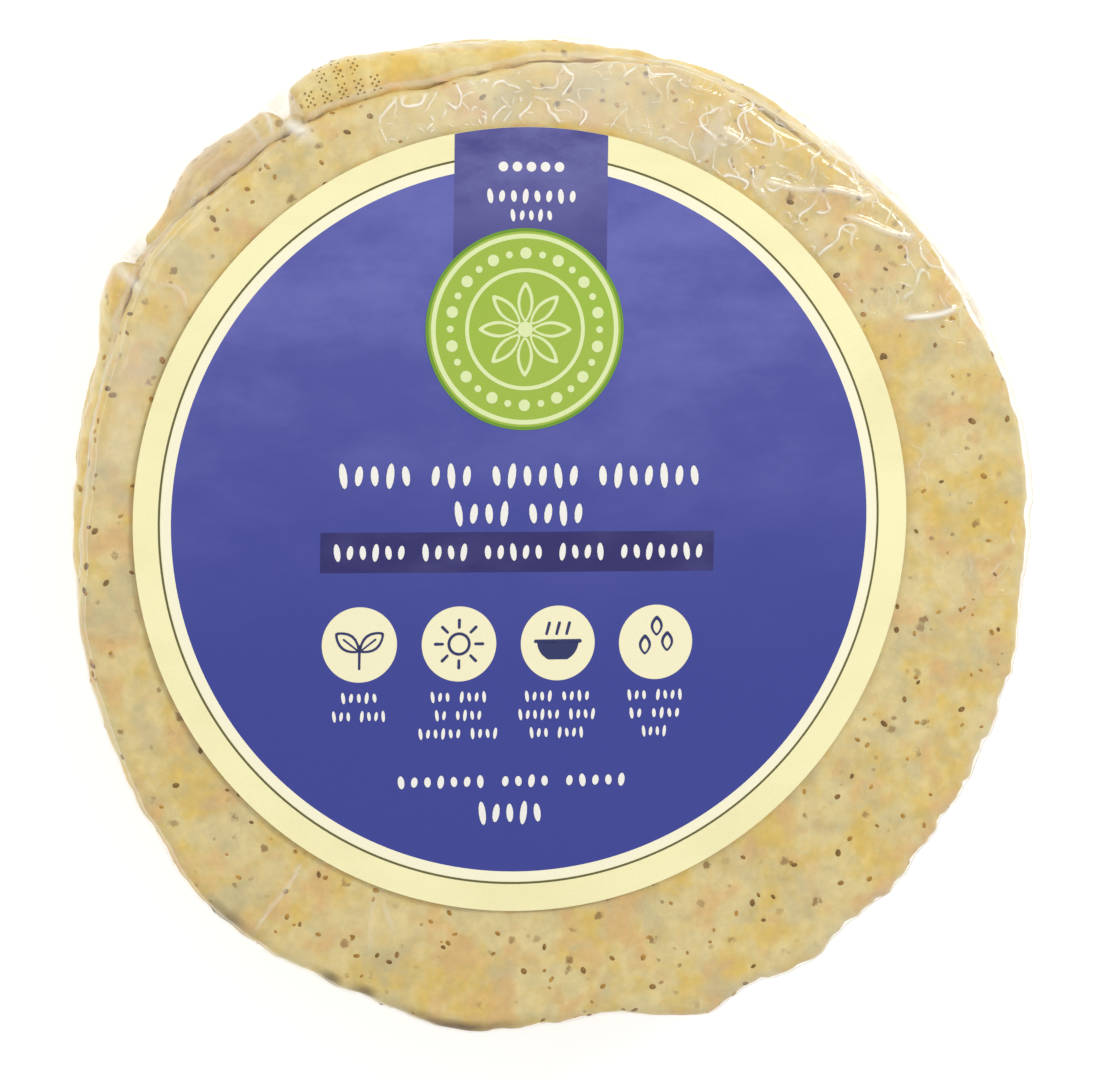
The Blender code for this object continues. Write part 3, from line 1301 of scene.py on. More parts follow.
@dataclass
class Film:
    """Clear film shrunk round the stack: taut over the rims, crinkled where it was gathered."""

    stack: Stack
    finish: FilmFinish
    columns: int = 816
    crowding: tuple[Bulge, ...] = (Bulge(78, 88, 2.4), Bulge(238, 11, 2.4))
    side_levels: tuple[float, ...] = (0.0, 0.1, 0.3, 0.5, 0.7, 0.86, 0.95)
    notched_levels: tuple[float, ...] = (0.0, 0.12, 0.3, 0.5, 0.66, 0.78, 0.87, 0.93, 0.965, 0.985, 0.995)
    under_parts: tuple[float, ...] = (0.05, 0.16, 0.3, 0.44, 0.58, 0.7, 0.8, 0.88, 0.94, 0.98)
    hidden_parts: tuple[float, ...] = (0.66, 0.55, 0.4, 0.25, 0.1)
    front_step: float = 0.36 * MM
    front_end: float = 43.5 * MM
    front_sink: float = 0.05 * MM
    lumps_share: float = 0.6
    label_margin: float = 1.6 * MM
    foot_bend: float = 2.0 * MM
    round_bend: float = 1.5 * MM
    creases: tuple[Crease, ...] = (
        Crease((48.9, 25.0), (57.5, 26.6), milk_highlight=1.0),
        Crease((41.0, 38.5), (52.5, 35.0), milk_highlight=0.5),
        Crease((30.0, 43.0), (47.0, 40.5), milk_highlight=0.5),
        Crease((-28.7, -42.3), (-34.9, -51.8), height=0.15 * MM, width=0.22 * MM, milk_highlight=0.45),
        Crease((-19.3, -46.4), (-20.6, -55.5), height=0.1 * MM, width=0.26 * MM, milk_highlight=0.2),
        Crease((-18.4, -47.0), (-17.0, -53.0), height=0.12 * MM, width=0.3 * MM, milk_highlight=0.28),
        Crease((-48.8, 30.3), (-43.0, 26.0), height=0.2 * MM, milk_highlight=0.4, bow_mm=2.6),
        Crease((-52.0, 33.0), (-47.5, 29.5), height=0.25 * MM, width=0.7 * MM, milk_highlight=0.6),
        Crease((-30.5, 51.5), (-26.0, 48.0), height=0.2 * MM, width=0.9 * MM, milk_highlight=0.85),
        Crease((-34.6, 53.6), (-31.6, 48.0), height=0.15 * MM, milk_highlight=0.6, bow_mm=0.9),
        Crease((-36.6, 52.4), (-33.2, 46.8), height=0.15 * MM, width=0.3 * MM, milk_highlight=0.4, bow_mm=0.9),
    )
    gathers: tuple[Bulge, ...] = (Bulge(62, 30, 1.0), Bulge(95, 18, 0.6), Bulge(-2, 18, 0.25))
    gathers_size: float = 11 * MM
    ridge_turn: float = 22
    ridge_stretch: float = 0.62
    ridge_bends: tuple[Relief, ...] = (
        Relief(1.3 * MM, 3.2 * MM, Grain.RIDGE_BEND_ALONG),
        Relief(1.3 * MM, 3.2 * MM, Grain.RIDGE_BEND_ASIDE),
    )
    wide_ridge_size: float = 6.2 * MM
    small_ridge_size: float = 3.6 * MM
    ridge_height: float = 0.24 * MM
    # The ridges' painted white highlight.
    ridge_highlight: float = 0.3
    streak_stretch: float = 0.25
    pleat_size: float = 3.2 * MM
    pleat_height: float = 0.28 * MM
    # The pleats' painted white highlight.
    pleat_highlight: float = 0.35
    loose_slack: float = 1.0 * MM
    underside: Relief = Relief(0.1 * MM, 7 * MM, Grain.UNDERSIDE)
    web_streak_size: float = 1.3 * MM
    clear_webs: Bulge = Bulge(198, 36, 0.85)
    # The painted highlight along the lip's seam, laid over the groove's shade, and where it lies.
    seam_highlight: float = 0.36
    seam_place: float = 0.45 * MM
    seam_width: float = 0.35 * MM
    # Painted highlight on the shoulder, by direction, and its patches.
    shoulder_highlight: tuple[Bulge, ...] = (Bulge(138, 20, 0.12), Bulge(40, 60, 0.25))
    patchy_shoulder: Bulge = Bulge(-45, 32, 0.8)
    patch_size: float = 4.5 * MM
    blooms: tuple[Bulge, ...] = (Bulge(88, 20, 0.24), Bulge(156, 20, 0.18), Bulge(40, 20, 0.04))
    bloom_size: float = 9 * MM
    grid_columns: int = 720
    grid_rows: int = 151
    side_grid: Grid = field(init=False)
    dough_grid: Grid = field(init=False)
    tree: BVHTree = field(init=False)

    def spread_directions(self, even: Grid) -> Grid:
        """Crowd evenly spaced directions together where the film needs more detail.

        Args:
            even: Evenly spaced directions.

        Returns:
            The crowded directions.
        """
        fine = np.linspace(-180, 180, 3601)
        density = 1 + sum(crowd.at(fine, 4) for crowd in self.crowding)
        passed = np.concatenate([[0], np.cumsum((density[1:] + density[:-1]) / 2)])
        return np.interp((even + 180) / 360 * passed[-1], passed, fine)

    def draw_round(self) -> None:
        """Work out the film's distance from the axis all round, as it bridges the arepas' rims."""
        stack = self.stack
        directions = np.arange(self.grid_columns) * 360 / self.grid_columns
        heights = np.linspace(0, stack.height, self.grid_rows)
        bare = np.zeros((self.grid_columns, self.grid_rows))
        self.dough_grid = np.zeros_like(bare)
        for number in range(stack.count):
            low = stack.base(number) if number else 0
            high = stack.base(number + 1) if number < stack.top else stack.height
            high = high + stack.lift(number, directions)[:, None]
            level = (heights[None, :] - low) / (high - low)
            covered = (level >= 0) & (level <= 1)
            tight = stack.tight_edge(number, directions)[:, None]
            reach = tight - stack.inset_at(level)
            bare = np.where(covered, np.maximum(bare, reach), bare)
            notched = reach - stack.notch(number, directions)[:, None]
            self.dough_grid = np.where(covered, np.maximum(self.dough_grid, notched), self.dough_grid)
        bridged = rolled(bare, 1, heights[1], self.foot_bend, False)
        column_step = math.tau * stack.usual_radius / self.grid_columns
        self.side_grid = rolled(bridged, 0, column_step, self.round_bend, True)

    def sample(self, grid: Grid, directions: Grid, heights: Grid) -> Grid:
        """Read a grid of the film's side between its places.

        Args:
            grid: Values for each column and row of the side's grid.
            directions: Where to read it.
            heights: Where to read it.

        Returns:
            The values.
        """
        across = (directions % 360) / 360 * self.grid_columns
        column = np.floor(across).astype(int) % self.grid_columns
        following = (column + 1) % self.grid_columns
        right = across - np.floor(across)
        up = np.clip(heights / self.stack.height, 0, 1) * (self.grid_rows - 1)
        row = np.minimum(np.floor(up).astype(int), self.grid_rows - 2)
        above = up - row
        lower = grid[column, row] * (1 - right) + grid[following, row] * right
        upper = grid[column, row + 1] * (1 - right) + grid[following, row + 1] * right
        return lower * (1 - above) + upper * above

    def rings(self) -> list[tuple[float, float, float]]:
        """The film's rings, from the middle of its underside, up its side, to under the label.

        Returns:
            (part of the flat face's radius, part of the rim's depth, height) of each.
        """
        stack = self.stack
        face = stack.crown_reach
        shoulder_base = stack.base(stack.top)
        shoulder_depth = stack.height - shoulder_base
        foot = [(1.0, inset, level * stack.base(1)) for inset, level in stack.rim(8, -90, 0)]
        shoulder = [
            (1.0, inset, shoulder_base + level * shoulder_depth) for inset, level in stack.rim(10, 0, 90)
        ]
        heights = [(level, 0) for level in self.side_levels if level > 0.5]
        for number in range(1, stack.top):
            levels = self.notched_levels if number == stack.notched else self.side_levels
            heights += [(level, number) for level in levels]
        heights += [(level, stack.top) for level in self.side_levels if level < 0.5]
        side = [(1.0, 0.0, stack.base(number) + level * stack.thickness) for level, number in heights]
        front = np.arange(face - self.front_step, self.front_end, -self.front_step) / face
        return (
            [(part, 1.0, 0.0) for part in self.under_parts]
            + foot
            + side
            + shoulder
            + [(part, 1.0, stack.height) for part in (*front, *self.hidden_parts)]
        )

    def lip_shift(self, directions: Grid, heights: Grid) -> Grid:
        """How far rings move up to crowd round the lip that sticks out under the top arepa.

        Args:
            directions: The vertices' directions.
            heights: Their heights.

        Returns:
            What each height gains.
        """
        stack = self.stack
        low = stack.base(stack.notched)
        lip = stack.base(stack.notched + 1)
        widest = lip + stack.thickness / 2
        below = np.clip((heights - low) / (lip - low), 0, 1)
        above = np.clip((widest - heights) / (widest - lip), 0, 1)
        return stack.lift(stack.notched, directions) * np.minimum(below, above)

    def gathered(self, places: Grid) -> Grid:
        """How strongly the film is crinkled.

        Args:
            places: Where it is wanted.

        Returns:
            0 to 1 for each place.
        """
        across = places[:, :2] - self.stack.label_centre
        share = total(self.gathers, np.degrees(np.arctan2(across[:, 1], across[:, 0])))
        broken = ramp(soft_noise(on_level(across), self.gathers_size, Grain.GATHERS), -0.25, 0.2)
        return np.clip(share, 0, 1) * (0.35 + 0.65 * broken)

    def crinkle(self, places: Grid) -> tuple[Grid, Grid, Grid]:
        """Thin curling ridges of gathered film, and its single creases.

        Args:
            places: Where they are wanted.

        Returns:
            The ridges' height and painted highlight, and the single creases' painted highlight, at each
            place.
        """
        across = places[:, :2] - self.stack.label_centre
        flat = on_level(spun(across, self.ridge_turn) * np.array([self.ridge_stretch, 1]))
        warped = flat + on_level(np.column_stack([bend.at(flat) for bend in self.ridge_bends]))
        wide = crest(soft_noise(warped, self.wide_ridge_size, Grain.WIDE_RIDGES), 0.1)
        small = crest(soft_noise(warped, self.small_ridge_size, Grain.SMALL_RIDGES), 0.13)
        share = self.gathered(places)
        line = wide * ramp(share, 0.25, 0.75) + 0.6 * small * ramp(share, 0.55, 0.95)
        # Painted highlight on the ridges' crests.
        milk_highlight = self.ridge_highlight * np.clip(line, 0, 1) ** 1.5
        height = self.ridge_height * np.clip(line, 0, 1.3)
        folds = np.zeros(len(across))
        for crease in self.creases:
            fold = crease.share(across)
            height = np.maximum(height, crease.height * fold)
            folds = np.maximum(folds, crease.milk_highlight * fold)
        return height, milk_highlight, folds

    def draw(self) -> tuple[BMesh, Skin]:
        """Draw the film tight round the stack, with no pleats or crinkles yet.

        Returns:
            The film's faces, whose vertices aren't placed yet, and how they are to lie.
        """
        stack = self.stack
        rings = np.array(self.rings())
        bm, ring, even = ringed_body(len(rings), self.columns)
        direction = self.spread_directions(even)
        part, inset, height = rings[ring].T
        height = height + self.lip_shift(direction, height)
        upper = height > stack.height / 2
        drawn = self.sample(self.side_grid, direction, height)
        exact = np.where(upper, stack.tight_edge(stack.top, direction), stack.tight_edge(0, direction))
        ended = (height < stack.base(1) / 2) | (height > stack.base(stack.top) + stack.thickness / 2)
        side = np.where(ended, np.maximum(exact - inset * stack.rim_depth, 0), drawn)
        side = np.maximum(side, np.where(inset < 0.98, drawn, 0)) + stack.stand_off
        radius = part * side
        places = stack.spread(direction, radius, height)
        return bm, Skin(direction, part, inset, height, drawn, radius, places, upper)

    def webs(self, skin: Skin, upright: Grid) -> Grid:
        """Milkiness of the film that bridges hollows, partly a painted highlight, and the painted highlight
        of its seam beside the lip, laid over the groove's shade.

        Args:
            skin: The film's vertices.
            upright: Their places with the heights scaled down, for upright streaks.

        Returns:
            The milkiness and painted highlight of each vertex.
        """
        stack = self.stack
        lip = stack.base(stack.notched + 1)
        gap = skin.drawn - self.sample(self.dough_grid, skin.direction, skin.height)
        lift = stack.lift(stack.notched, skin.direction) / stack.lip_lift
        cut = ramp(stack.notch(stack.notched, skin.direction), 0.4 * MM, 1.6 * MM)
        over_lip = ramp(skin.height - lip, 0.6 * MM, 1.4 * MM) * lift * (1 - cut)
        web = ramp(gap, 0.5 * MM, 1.9 * MM) * (1 - 0.85 * over_lip) * (0.35 + 0.45 * cut)
        streaks = ramp(soft_noise(upright, self.web_streak_size, Grain.WEB_STREAKS), -0.35, 0.3)
        low = 1 - ramp(skin.height, stack.base(stack.notched) + 1.0 * MM, lip)
        web = web * (0.45 + 0.55 * streaks) * (1 - 0.4 * lift * low)
        web = web * (1 - self.clear_webs.at(skin.direction))
        # Painted highlight: a pale line along the lip's seam, over the shade of the groove there.
        beyond = skin.radius - stack.tight_edge(stack.top, skin.direction) - stack.stand_off
        seam = self.seam_highlight * over_lip * crest(beyond - self.seam_place, self.seam_width)
        return np.maximum(web, seam) * (skin.inset < 0.6)

    def shoulder(self, skin: Skin) -> Grid:
        """Painted highlight of the film where it bends from the front to the side, patchy towards the lower
        right.

        Args:
            skin: The film's vertices.

        Returns:
            The painted highlight of each vertex.
        """
        bend = crest(skin.inset - 0.55, 0.25) * skin.upper * (skin.part > 0.999)
        patchy = 0.4 + 0.6 * ramp(soft_noise(skin.places, self.patch_size, Grain.SHOULDER), -0.1, 0.3)
        patchy = self.patchy_shoulder.at(skin.direction) * patchy
        return bend * (total(self.shoulder_highlight, skin.direction) + patchy)

    def bloom(self, skin: Skin) -> Grid:
        """Soft milkiness of the front where the film doesn't touch the dough."""
        uneven = ramp(soft_noise(skin.places, self.bloom_size, Grain.BLOOM), -0.4, 0.4)
        return total(self.blooms, skin.direction) * (0.7 + 0.6 * uneven)

    def build(self) -> bpy.types.Object:
        """Shape and dress the film.

        Returns:
            The finished piece.
        """
        stack = self.stack
        self.draw_round()
        bm, skin = self.draw()
        places, height, inset = skin.places, skin.height, skin.inset
        upright = places * np.array([1, 1, self.streak_stretch])
        loose = np.clip(total(stack.slack, skin.direction) / self.loose_slack, 0, 1)
        pleat = crest(soft_noise(upright, self.pleat_size, Grain.PLEATS), 0.12)
        pleat = pleat * ramp(height, 0.2 * MM, 3 * MM)
        pleat = pleat * (1 - ramp(height, 24 * MM, stack.height - 0.1 * MM))
        push_out(places, skin.direction, self.pleat_height * pleat * (0.35 + 0.65 * loose))
        on_front = ramp(inset, 0.2, 1.0) * skin.upper
        bare_front = on_front * (1 - stack.label_cover(places, self.label_margin))
        ridge, ridge_highlight, folds = self.crinkle(places)
        relief = self.lumps_share * total(stack.lumps, places) + ridge
        places[:, 2] += on_front * (stack.rise(places) - self.front_sink) + bare_front * relief
        under = (height < 0.01 * MM) * (inset > 0.98)
        places[:, 2] += under * (self.underside.height + self.underside.at(places))
        on_lip = (height > stack.base(stack.notched)) * (inset < 0.6)
        # White on each vertex: painted highlights on the ridges, creases, seam, shoulder and pleats; on the
        # webs partly milkiness and partly painted highlight; and the bloom's milkiness.
        milk_and_highlight = (
            bare_front * ridge_highlight,
            bare_front * self.bloom(skin),
            np.maximum(bare_front, on_lip) * folds,
            self.webs(skin, upright),
            self.shoulder(skin),
            self.pleat_highlight * pleat * loose,
        )
        set_coordinates(bm, places)
        bm.normal_update()
        self.tree = BVHTree.FromBMesh(bm)
        values = {"milk_and_highlight": np.max(milk_and_highlight, axis=0), "gathered": bare_front * self.gathered(places)}
        piece = add_piece("film", bm, self.finish.material(), Slot.FILM, values, 180)
        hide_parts(PACK_NODE)
        return piece


@dataclass
class DateDots:
    """Rows of small dark dots jetted on the film, in blocks as a date printer makes them."""

    film: Film
    finish: PrintFinish = PrintFinish("date_ink", (138, 110, 50))
    direction: float = 114.5
    rows: tuple[tuple[float, int], ...] = ((63.9 * MM, 5), (66.5 * MM, 3))
    block_columns: int = 3
    block_levels: int = 5
    block_pitch: float = 2.15 * MM
    dot_pitch: float = 0.42 * MM
    dot_radius: float = 0.14 * MM
    dot_thickness: float = 0.03 * MM
    line_turn: float = 14.0

    def spots(self) -> Iterable[Spot]:
        """Find the dots' places.

        Yields:
            Each dot's place across and up the line of print, from the middle of the lower row.
        """
        first = self.rows[0][0]
        for reach, blocks in self.rows:
            for block, column, level in product(
                range(blocks), range(self.block_columns), range(self.block_levels)
            ):
                if (column + level) % 2 == 0:
                    start = (block - blocks / 2) * self.block_pitch
                    up = (level - self.block_levels // 2) * self.dot_pitch
                    yield start + column * self.dot_pitch, reach - first + up

    def placings(self) -> Iterable[Matrix]:
        """Lay the dots on the film.

        Yields:
            What sets the next dot in its place.
        """
        middle = around(self.film.stack.axis, self.rows[0][0], self.direction)
        for spot in spun(np.array(list(self.spots())), self.line_turn) + middle:
            for place, normal in cast(self.film.tree, Vector((*spot, AFAR)), DOWN):
                yield Matrix.Translation(place + normal * self.dot_thickness) @ standing(normal)

    def build(self) -> bpy.types.Object:
        """Shape and dress the dots as one piece.

        Returns:
            The finished piece.
        """
        dot = bmesh.new()
        sizes = dict(radius1=self.dot_radius, radius2=self.dot_radius, depth=self.dot_thickness)
        bmesh.ops.create_cone(dot, cap_ends=True, segments=8, **sizes)
        bm = copies(dot, self.placings())
        return add_piece("date_dots", bm, self.finish.material(), Slot.INK, sharp_angle=40)


# ---------------------------------------------------------------- the label


@dataclass
class Ink:
    """Flat shapes of one colour, printed on the label at one level over its paper.

    Its sizes are in mm, and its places in mm from the label's centre.
    """

    name: str
    finish: PrintFinish
    level: int
    bm: BMesh = field(default_factory=bmesh.new)

    def set_down(self, centre: Spot, turn: float = 0.0) -> Matrix:
        """What turns a flat shape and moves it to its place."""
        place = Matrix.Translation((centre[0] * MM, centre[1] * MM, 0))
        return place @ Matrix.Rotation(math.radians(turn), 4, "Z")

    def disc(
        self, centre: Spot, radius: float, segments: int = 48, stretch: float = 1.0, turn: float = 0.0
    ) -> list[bmesh.types.BMVert]:
        """Add a disc or an oval.

        Args:
            centre: Its centre.
            radius: Half its width.
            segments: How many sides it has.
            stretch: Its height as a part of its width.
            turn: How far it is turned.

        Returns:
            Its vertices.
        """
        size = Matrix.Diagonal((radius * MM, radius * MM * stretch, 1, 1))
        lie = self.set_down(centre, turn) @ size
        made = bmesh.ops.create_circle(self.bm, cap_ends=True, segments=segments, radius=1, matrix=lie)
        return made["verts"]

    def bar(self, centre: Spot, length: float, thickness: float, turn: float = 0.0) -> None:
        """Add a bar with round ends.

        Args:
            centre: Its centre.
            length: Its length over its ends.
            thickness: Its thickness.
            turn: How far it is turned.
        """
        verts = self.disc((0, 0), thickness / 2, 12)
        for vert in verts:
            vert.co.x += math.copysign((length - thickness) / 2 * MM, vert.co.x)
        bmesh.ops.transform(self.bm, matrix=self.set_down(centre, turn), verts=verts)

    def petal(self, centre: Spot, width: float, length: float, turn: float) -> None:
        """Add a petal with two pointed ends.

        Args:
            centre: The end that it grows from.
            width: Its width.
            length: Its length.
            turn: The direction that it grows in.
        """
        verts = self.disc((0, 0), 1, 20)
        for vert in verts:
            run = vert.co.x / MM
            vert.co.y *= width / 2 * (1 - 0.45 * run * run)
            vert.co.x = (run + 1) * length / 2 * MM
        bmesh.ops.transform(self.bm, matrix=self.set_down(centre, turn), verts=verts)

    def ring(self, centre: Spot, radius: float, thickness: float, steps: int = 120) -> None:
        """Add a ring.

        Args:
            centre: Its centre.
            radius: The radius of its middle line.
            thickness: Its thickness.
            steps: How many sides it has.
        """
        made = bmesh.new()
        section = [((radius + side * thickness / 2) * MM, 0.0) for side in (-1, 1)]
        turned(made, section, steps, 1e-6)
        bmesh.ops.transform(made, matrix=self.set_down(centre), verts=made.verts)
        join(self.bm, made)

    def trim(self, low: float, high: float = WIDE, left: float = -WIDE, right: float = WIDE) -> None:
        """Cut everything away outside a box.

        Args:
            low: Its lower edge.
            high: Its upper edge.
            left: Its left edge.
            right: Its right edge.
        """
        sides = (((right, 0), (1, 0)), ((left, 0), (-1, 0)), ((0, high), (0, 1)), ((0, low), (0, -1)))
        for point, outward in sides:
            bmesh.ops.bisect_plane(
                self.bm,
                geom=self.bm.verts[:] + self.bm.edges[:] + self.bm.faces[:],
                plane_co=(point[0] * MM, point[1] * MM, 0),
                plane_no=(*outward, 0),
                clear_outer=True,
            )


@dataclass(frozen=True)
class GrainRow:
    """A row of upright rice grains in groups, with its places in mm from the label's centre."""

    left: float
    right: float
    middle: float
    height: float
    groups: tuple[int, ...]

    def print_on(self, marks: Ink) -> None:
        """Add the row's grains to a print, every third one a tall one.

        Args:
            marks: The print.
        """
        pitch = (self.right - self.left) / (sum(self.groups) + GROUP_GAP * (len(self.groups) - 1))
        place = self.left + pitch / 2
        count = 0
        for group in self.groups:
            for _ in range(group):
                tall = self.height * (1.0 if count % 3 == 0 else LOW_GRAIN)
                lean = GRAIN_LEANS[count % len(GRAIN_LEANS)]
                marks.disc((place, self.middle), pitch / 4, 12, tall / (pitch / 2), lean)
                place += pitch
                count += 1
            place += GROUP_GAP * pitch


@dataclass
class Label:
    """Round paper label with printed fields of colour and small generic marks.

    What is printed has its sizes in mm, and its places in mm from the label's centre.
    """

    stack: Stack
    radius: float = 50.0
    paper_thickness: float = 0.16 * MM
    clearance: float = 0.16 * MM
    ink_step: float = 0.03 * MM
    ink_sink: float = 0.01 * MM
    facet: float = 3.0 * MM
    cream: Colour = (254, 247, 194)
    cream_shade: Colour = (246, 238, 184)
    pale_cream: Colour = (255, 249, 218)
    sign_cream: Colour = (250, 243, 205)
    line_brown: Colour = (104, 100, 66)
    blue: Colour = (63, 70, 151)
    haze_blue: Colour = (108, 110, 184)
    tab_blue: Colour = (74, 71, 137)
    tab_haze: Colour = (110, 110, 172)
    box_blue: Colour = (51, 48, 108)
    box_haze: Colour = (68, 66, 122)
    green: Colour = (164, 190, 74)
    green_haze: Colour = (158, 192, 66)
    green_edge: Colour = (112, 156, 52)
    mark_white: Colour = (246, 244, 236)
    seal_light: Colour = (226, 238, 178)
    icon_blue: Colour = (52, 58, 104)
    field_centre: Spot = (-0.3, 0.1)
    seal_centre: Spot = (-0.6, 24.55)
    beads: int = 28
    petals: int = 8
    grain_rows: tuple[GrainRow, ...] = (
        GrainRow(-24.6, 22.7, 6.0, 3.3, (5, 3, 6, 7)),
        GrainRow(-9.8, 7.6, 1.2, 3.3, (4, 4)),
        GrainRow(-25.1, 23.3, -3.7, 2.3, (6, 4, 5, 4, 7)),
        GrainRow(-6.0, 6.1, 41.3, 1.9, (8,)),
        GrainRow(-2.9, 3.0, 38.9, 1.6, (5,)),
        GrainRow(-16.6, 13.7, -33.1, 1.7, (7, 4, 5)),
        GrainRow(-6.1, 2.8, -37.2, 3.1, (5,)),
    )
    tab_dots: int = 5
    first_dot: Spot = (-3.6, 45.0)
    dot_pitch: float = 1.8
    dot_radius: float = 0.62
    signs_level: float = -15.4
    first_sign: float = -21.3
    sign_pitch: float = 12.77
    sign_row_widths: tuple[tuple[float, ...], ...] = (
        (5.0, 7.2),
        (7.6, 6.4, 10.6),
        (8.8, 10.4, 7.4),
        (7.6, 7.0, 3.6),
    )
    sign_rows_level: float = -22.2
    sign_row_pitch: float = 2.35
    sign_grain_height: float = 1.5
    sign_grain_width: float = 0.95
    longest_sign_group: int = 6
    second_sign_group: int = 4
    print_turn: float = -0.9
    inks: list[Ink] = field(default_factory=list)

    def ink(self, name: str, colour: Colour, level: int, cloud: Colour | None = None, **clouds: float) -> Ink:
        """Start a printed colour.

        Args:
            name: The piece's name.
            colour: Its colour.
            level: How many layers of ink lie under it.
            cloud: The colour of its clouds.
            clouds: The clouds' size and strength, as PrintFinish has them.

        Returns:
            The empty print.
        """
        made = Ink(name, PrintFinish(name, colour, cloud, **clouds), level)
        self.inks.append(made)
        return made

    def drape(self, bm: BMesh, height: float, thickness: float) -> None:
        """Cut flat shapes into small facets, lay them on the pack's crown and give them thickness.

        Args:
            bm: Flat shapes round the label's centre.
            height: How far their undersides lie over the label's back.
            thickness: Their thickness.
        """
        steps = int(self.radius * MM / self.facet) + 1
        for normal in ((1, 0, 0), (0, 1, 0)):
            for number in range(-steps, steps + 1):
                bmesh.ops.bisect_plane(
                    bm,
                    geom=bm.verts[:] + bm.edges[:] + bm.faces[:],
                    plane_co=Vector(normal) * number * self.facet,
                    plane_no=normal,
                )
        bmesh.ops.recalc_face_normals(bm, faces=bm.faces)
        for face in bm.faces:
            if face.normal.z < 0:
                face.normal_flip()
        made = bmesh.ops.extrude_face_region(bm, geom=bm.faces[:], use_keep_orig=True)
        upper = [part for part in made["geom"] if isinstance(part, bmesh.types.BMVert)]
        bmesh.ops.translate(bm, vec=(0, 0, thickness), verts=upper)
        bmesh.ops.recalc_face_normals(bm, faces=bm.faces)
        points = coordinates(bm)
        points[:, :2] = spun(points[:, :2], self.print_turn) + self.stack.label_centre
        points[:, 2] += self.stack.height + self.stack.rise(points) + self.clearance + height
        set_coordinates(bm, points)

    def make_paper(self) -> bpy.types.Object:
        """Shape and dress the paper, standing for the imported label.

        Returns:
            The finished piece.
        """
        sheet = Ink("label_paper", PrintFinish("cream_paper", self.cream, self.cream_shade), 0)
        sheet.disc((0, 0), self.radius, 240)
        self.drape(sheet.bm, 0, self.paper_thickness)
        piece = add_piece("label_paper", sheet.bm, sheet.finish.material(), Slot.LABEL, sharp_angle=40)
        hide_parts(LABEL_NODE)
        return piece

    def print_fields(self) -> None:
        """The cream rings, the blue field, the tab and the banner."""
        self.ink("inner_band", self.pale_cream, 0).ring(self.field_centre, 45.6, 1.3, 240)
        self.ink("band_line", self.line_brown, 0).ring(self.field_centre, 46.45, 0.27, 240)
        # The blue field's paler clouds grow stronger towards the label's top.
        clouds = dict(cloud_start=0.38, cloud_end=0.66, cloud_low=-20 * MM, cloud_high=40 * MM)
        clouds |= dict(cloud_shift=5, even_share=0.4)
        blue_field = self.ink("blue_field", self.blue, 0, self.haze_blue, **clouds)
        blue_field.disc(self.field_centre, 44.95, 240)
        clouds = dict(cloud_start=0.3, cloud_end=0.6, cloud_low=33 * MM, cloud_high=50 * MM)
        clouds |= dict(cloud_size=9 * MM)
        tab = self.ink("tab", self.tab_blue, 1, self.tab_haze, **clouds)
        tab.disc((0, 0), self.radius - 0.03, 240)
        tab.trim(low=32, left=-9.84, right=9.84)
        banner = self.ink("banner", self.box_blue, 1, self.box_haze, cloud_size=6 * MM)
        banner.disc((0, 0), 60, 4, turn=45)
        banner.trim(low=-6.25, high=-1.15, left=-26.4, right=24.4)

    def print_seal(self) -> None:
        """The green seal, with a ring of beads round a rosette."""
        centre = self.seal_centre
        self.ink("seal_edge", self.green_edge, 2).disc(centre, 12.75, 120)
        self.ink("seal_field", self.green, 3, self.green_haze, cloud_size=8 * MM).disc(centre, 12.35, 120)
        light = self.ink("seal_marks", self.seal_light, 4)
        light.ring(centre, 11.75, 0.6)
        light.ring(centre, 7.45, 0.5)
        for number in range(self.beads):
            radius = 0.75 if number % 2 else 0.45
            light.disc(around(centre, 9.6, 360 * number / self.beads), radius, 12)
        inner = self.ink("seal_petals", self.green, 5)
        for number in range(self.petals):
            turn = 360 * number / self.petals
            light.petal(around(centre, 0.9, turn), 2.1, 5.1, turn)
            inner.petal(around(centre, 1.3, turn), 1.3, 4.0, turn)
        self.ink("seal_heart", self.seal_light, 6).disc(centre, 1.0, 20)

    def sign_places(self) -> list[float]:
        """Where the four round signs stand across the label."""
        return [self.first_sign + self.sign_pitch * number for number in range(4)]

    def sign_groups(self, width: float) -> tuple[int, ...]:
        """The groups of grains in a row below a sign, where a long row has a gap in it.

        Args:
            width: The row's width.

        Returns:
            The number of grains in each group.
        """
        grains = round(width / self.sign_grain_width)
        if grains <= self.longest_sign_group:
            return (grains,)
        return grains - self.second_sign_group - 1, self.second_sign_group

    def print_marks(self) -> None:
        """Rows of rice grains in the places of the wording, and the dots on the tab."""
        marks = self.ink("pale_marks", self.mark_white, 2)
        for number in range(self.tab_dots):
            place = (self.first_dot[0] + self.dot_pitch * number, self.first_dot[1])
            marks.disc(place, self.dot_radius, 16)
        for row in self.grain_rows:
            row.print_on(marks)
        for place, widths in zip(self.sign_places(), self.sign_row_widths):
            for number, width in enumerate(widths):
                ends = (place - width / 2, place + width / 2)
                level = self.sign_rows_level - self.sign_row_pitch * number
                groups = self.sign_groups(width)
                GrainRow(*ends, level, self.sign_grain_height, groups).print_on(marks)

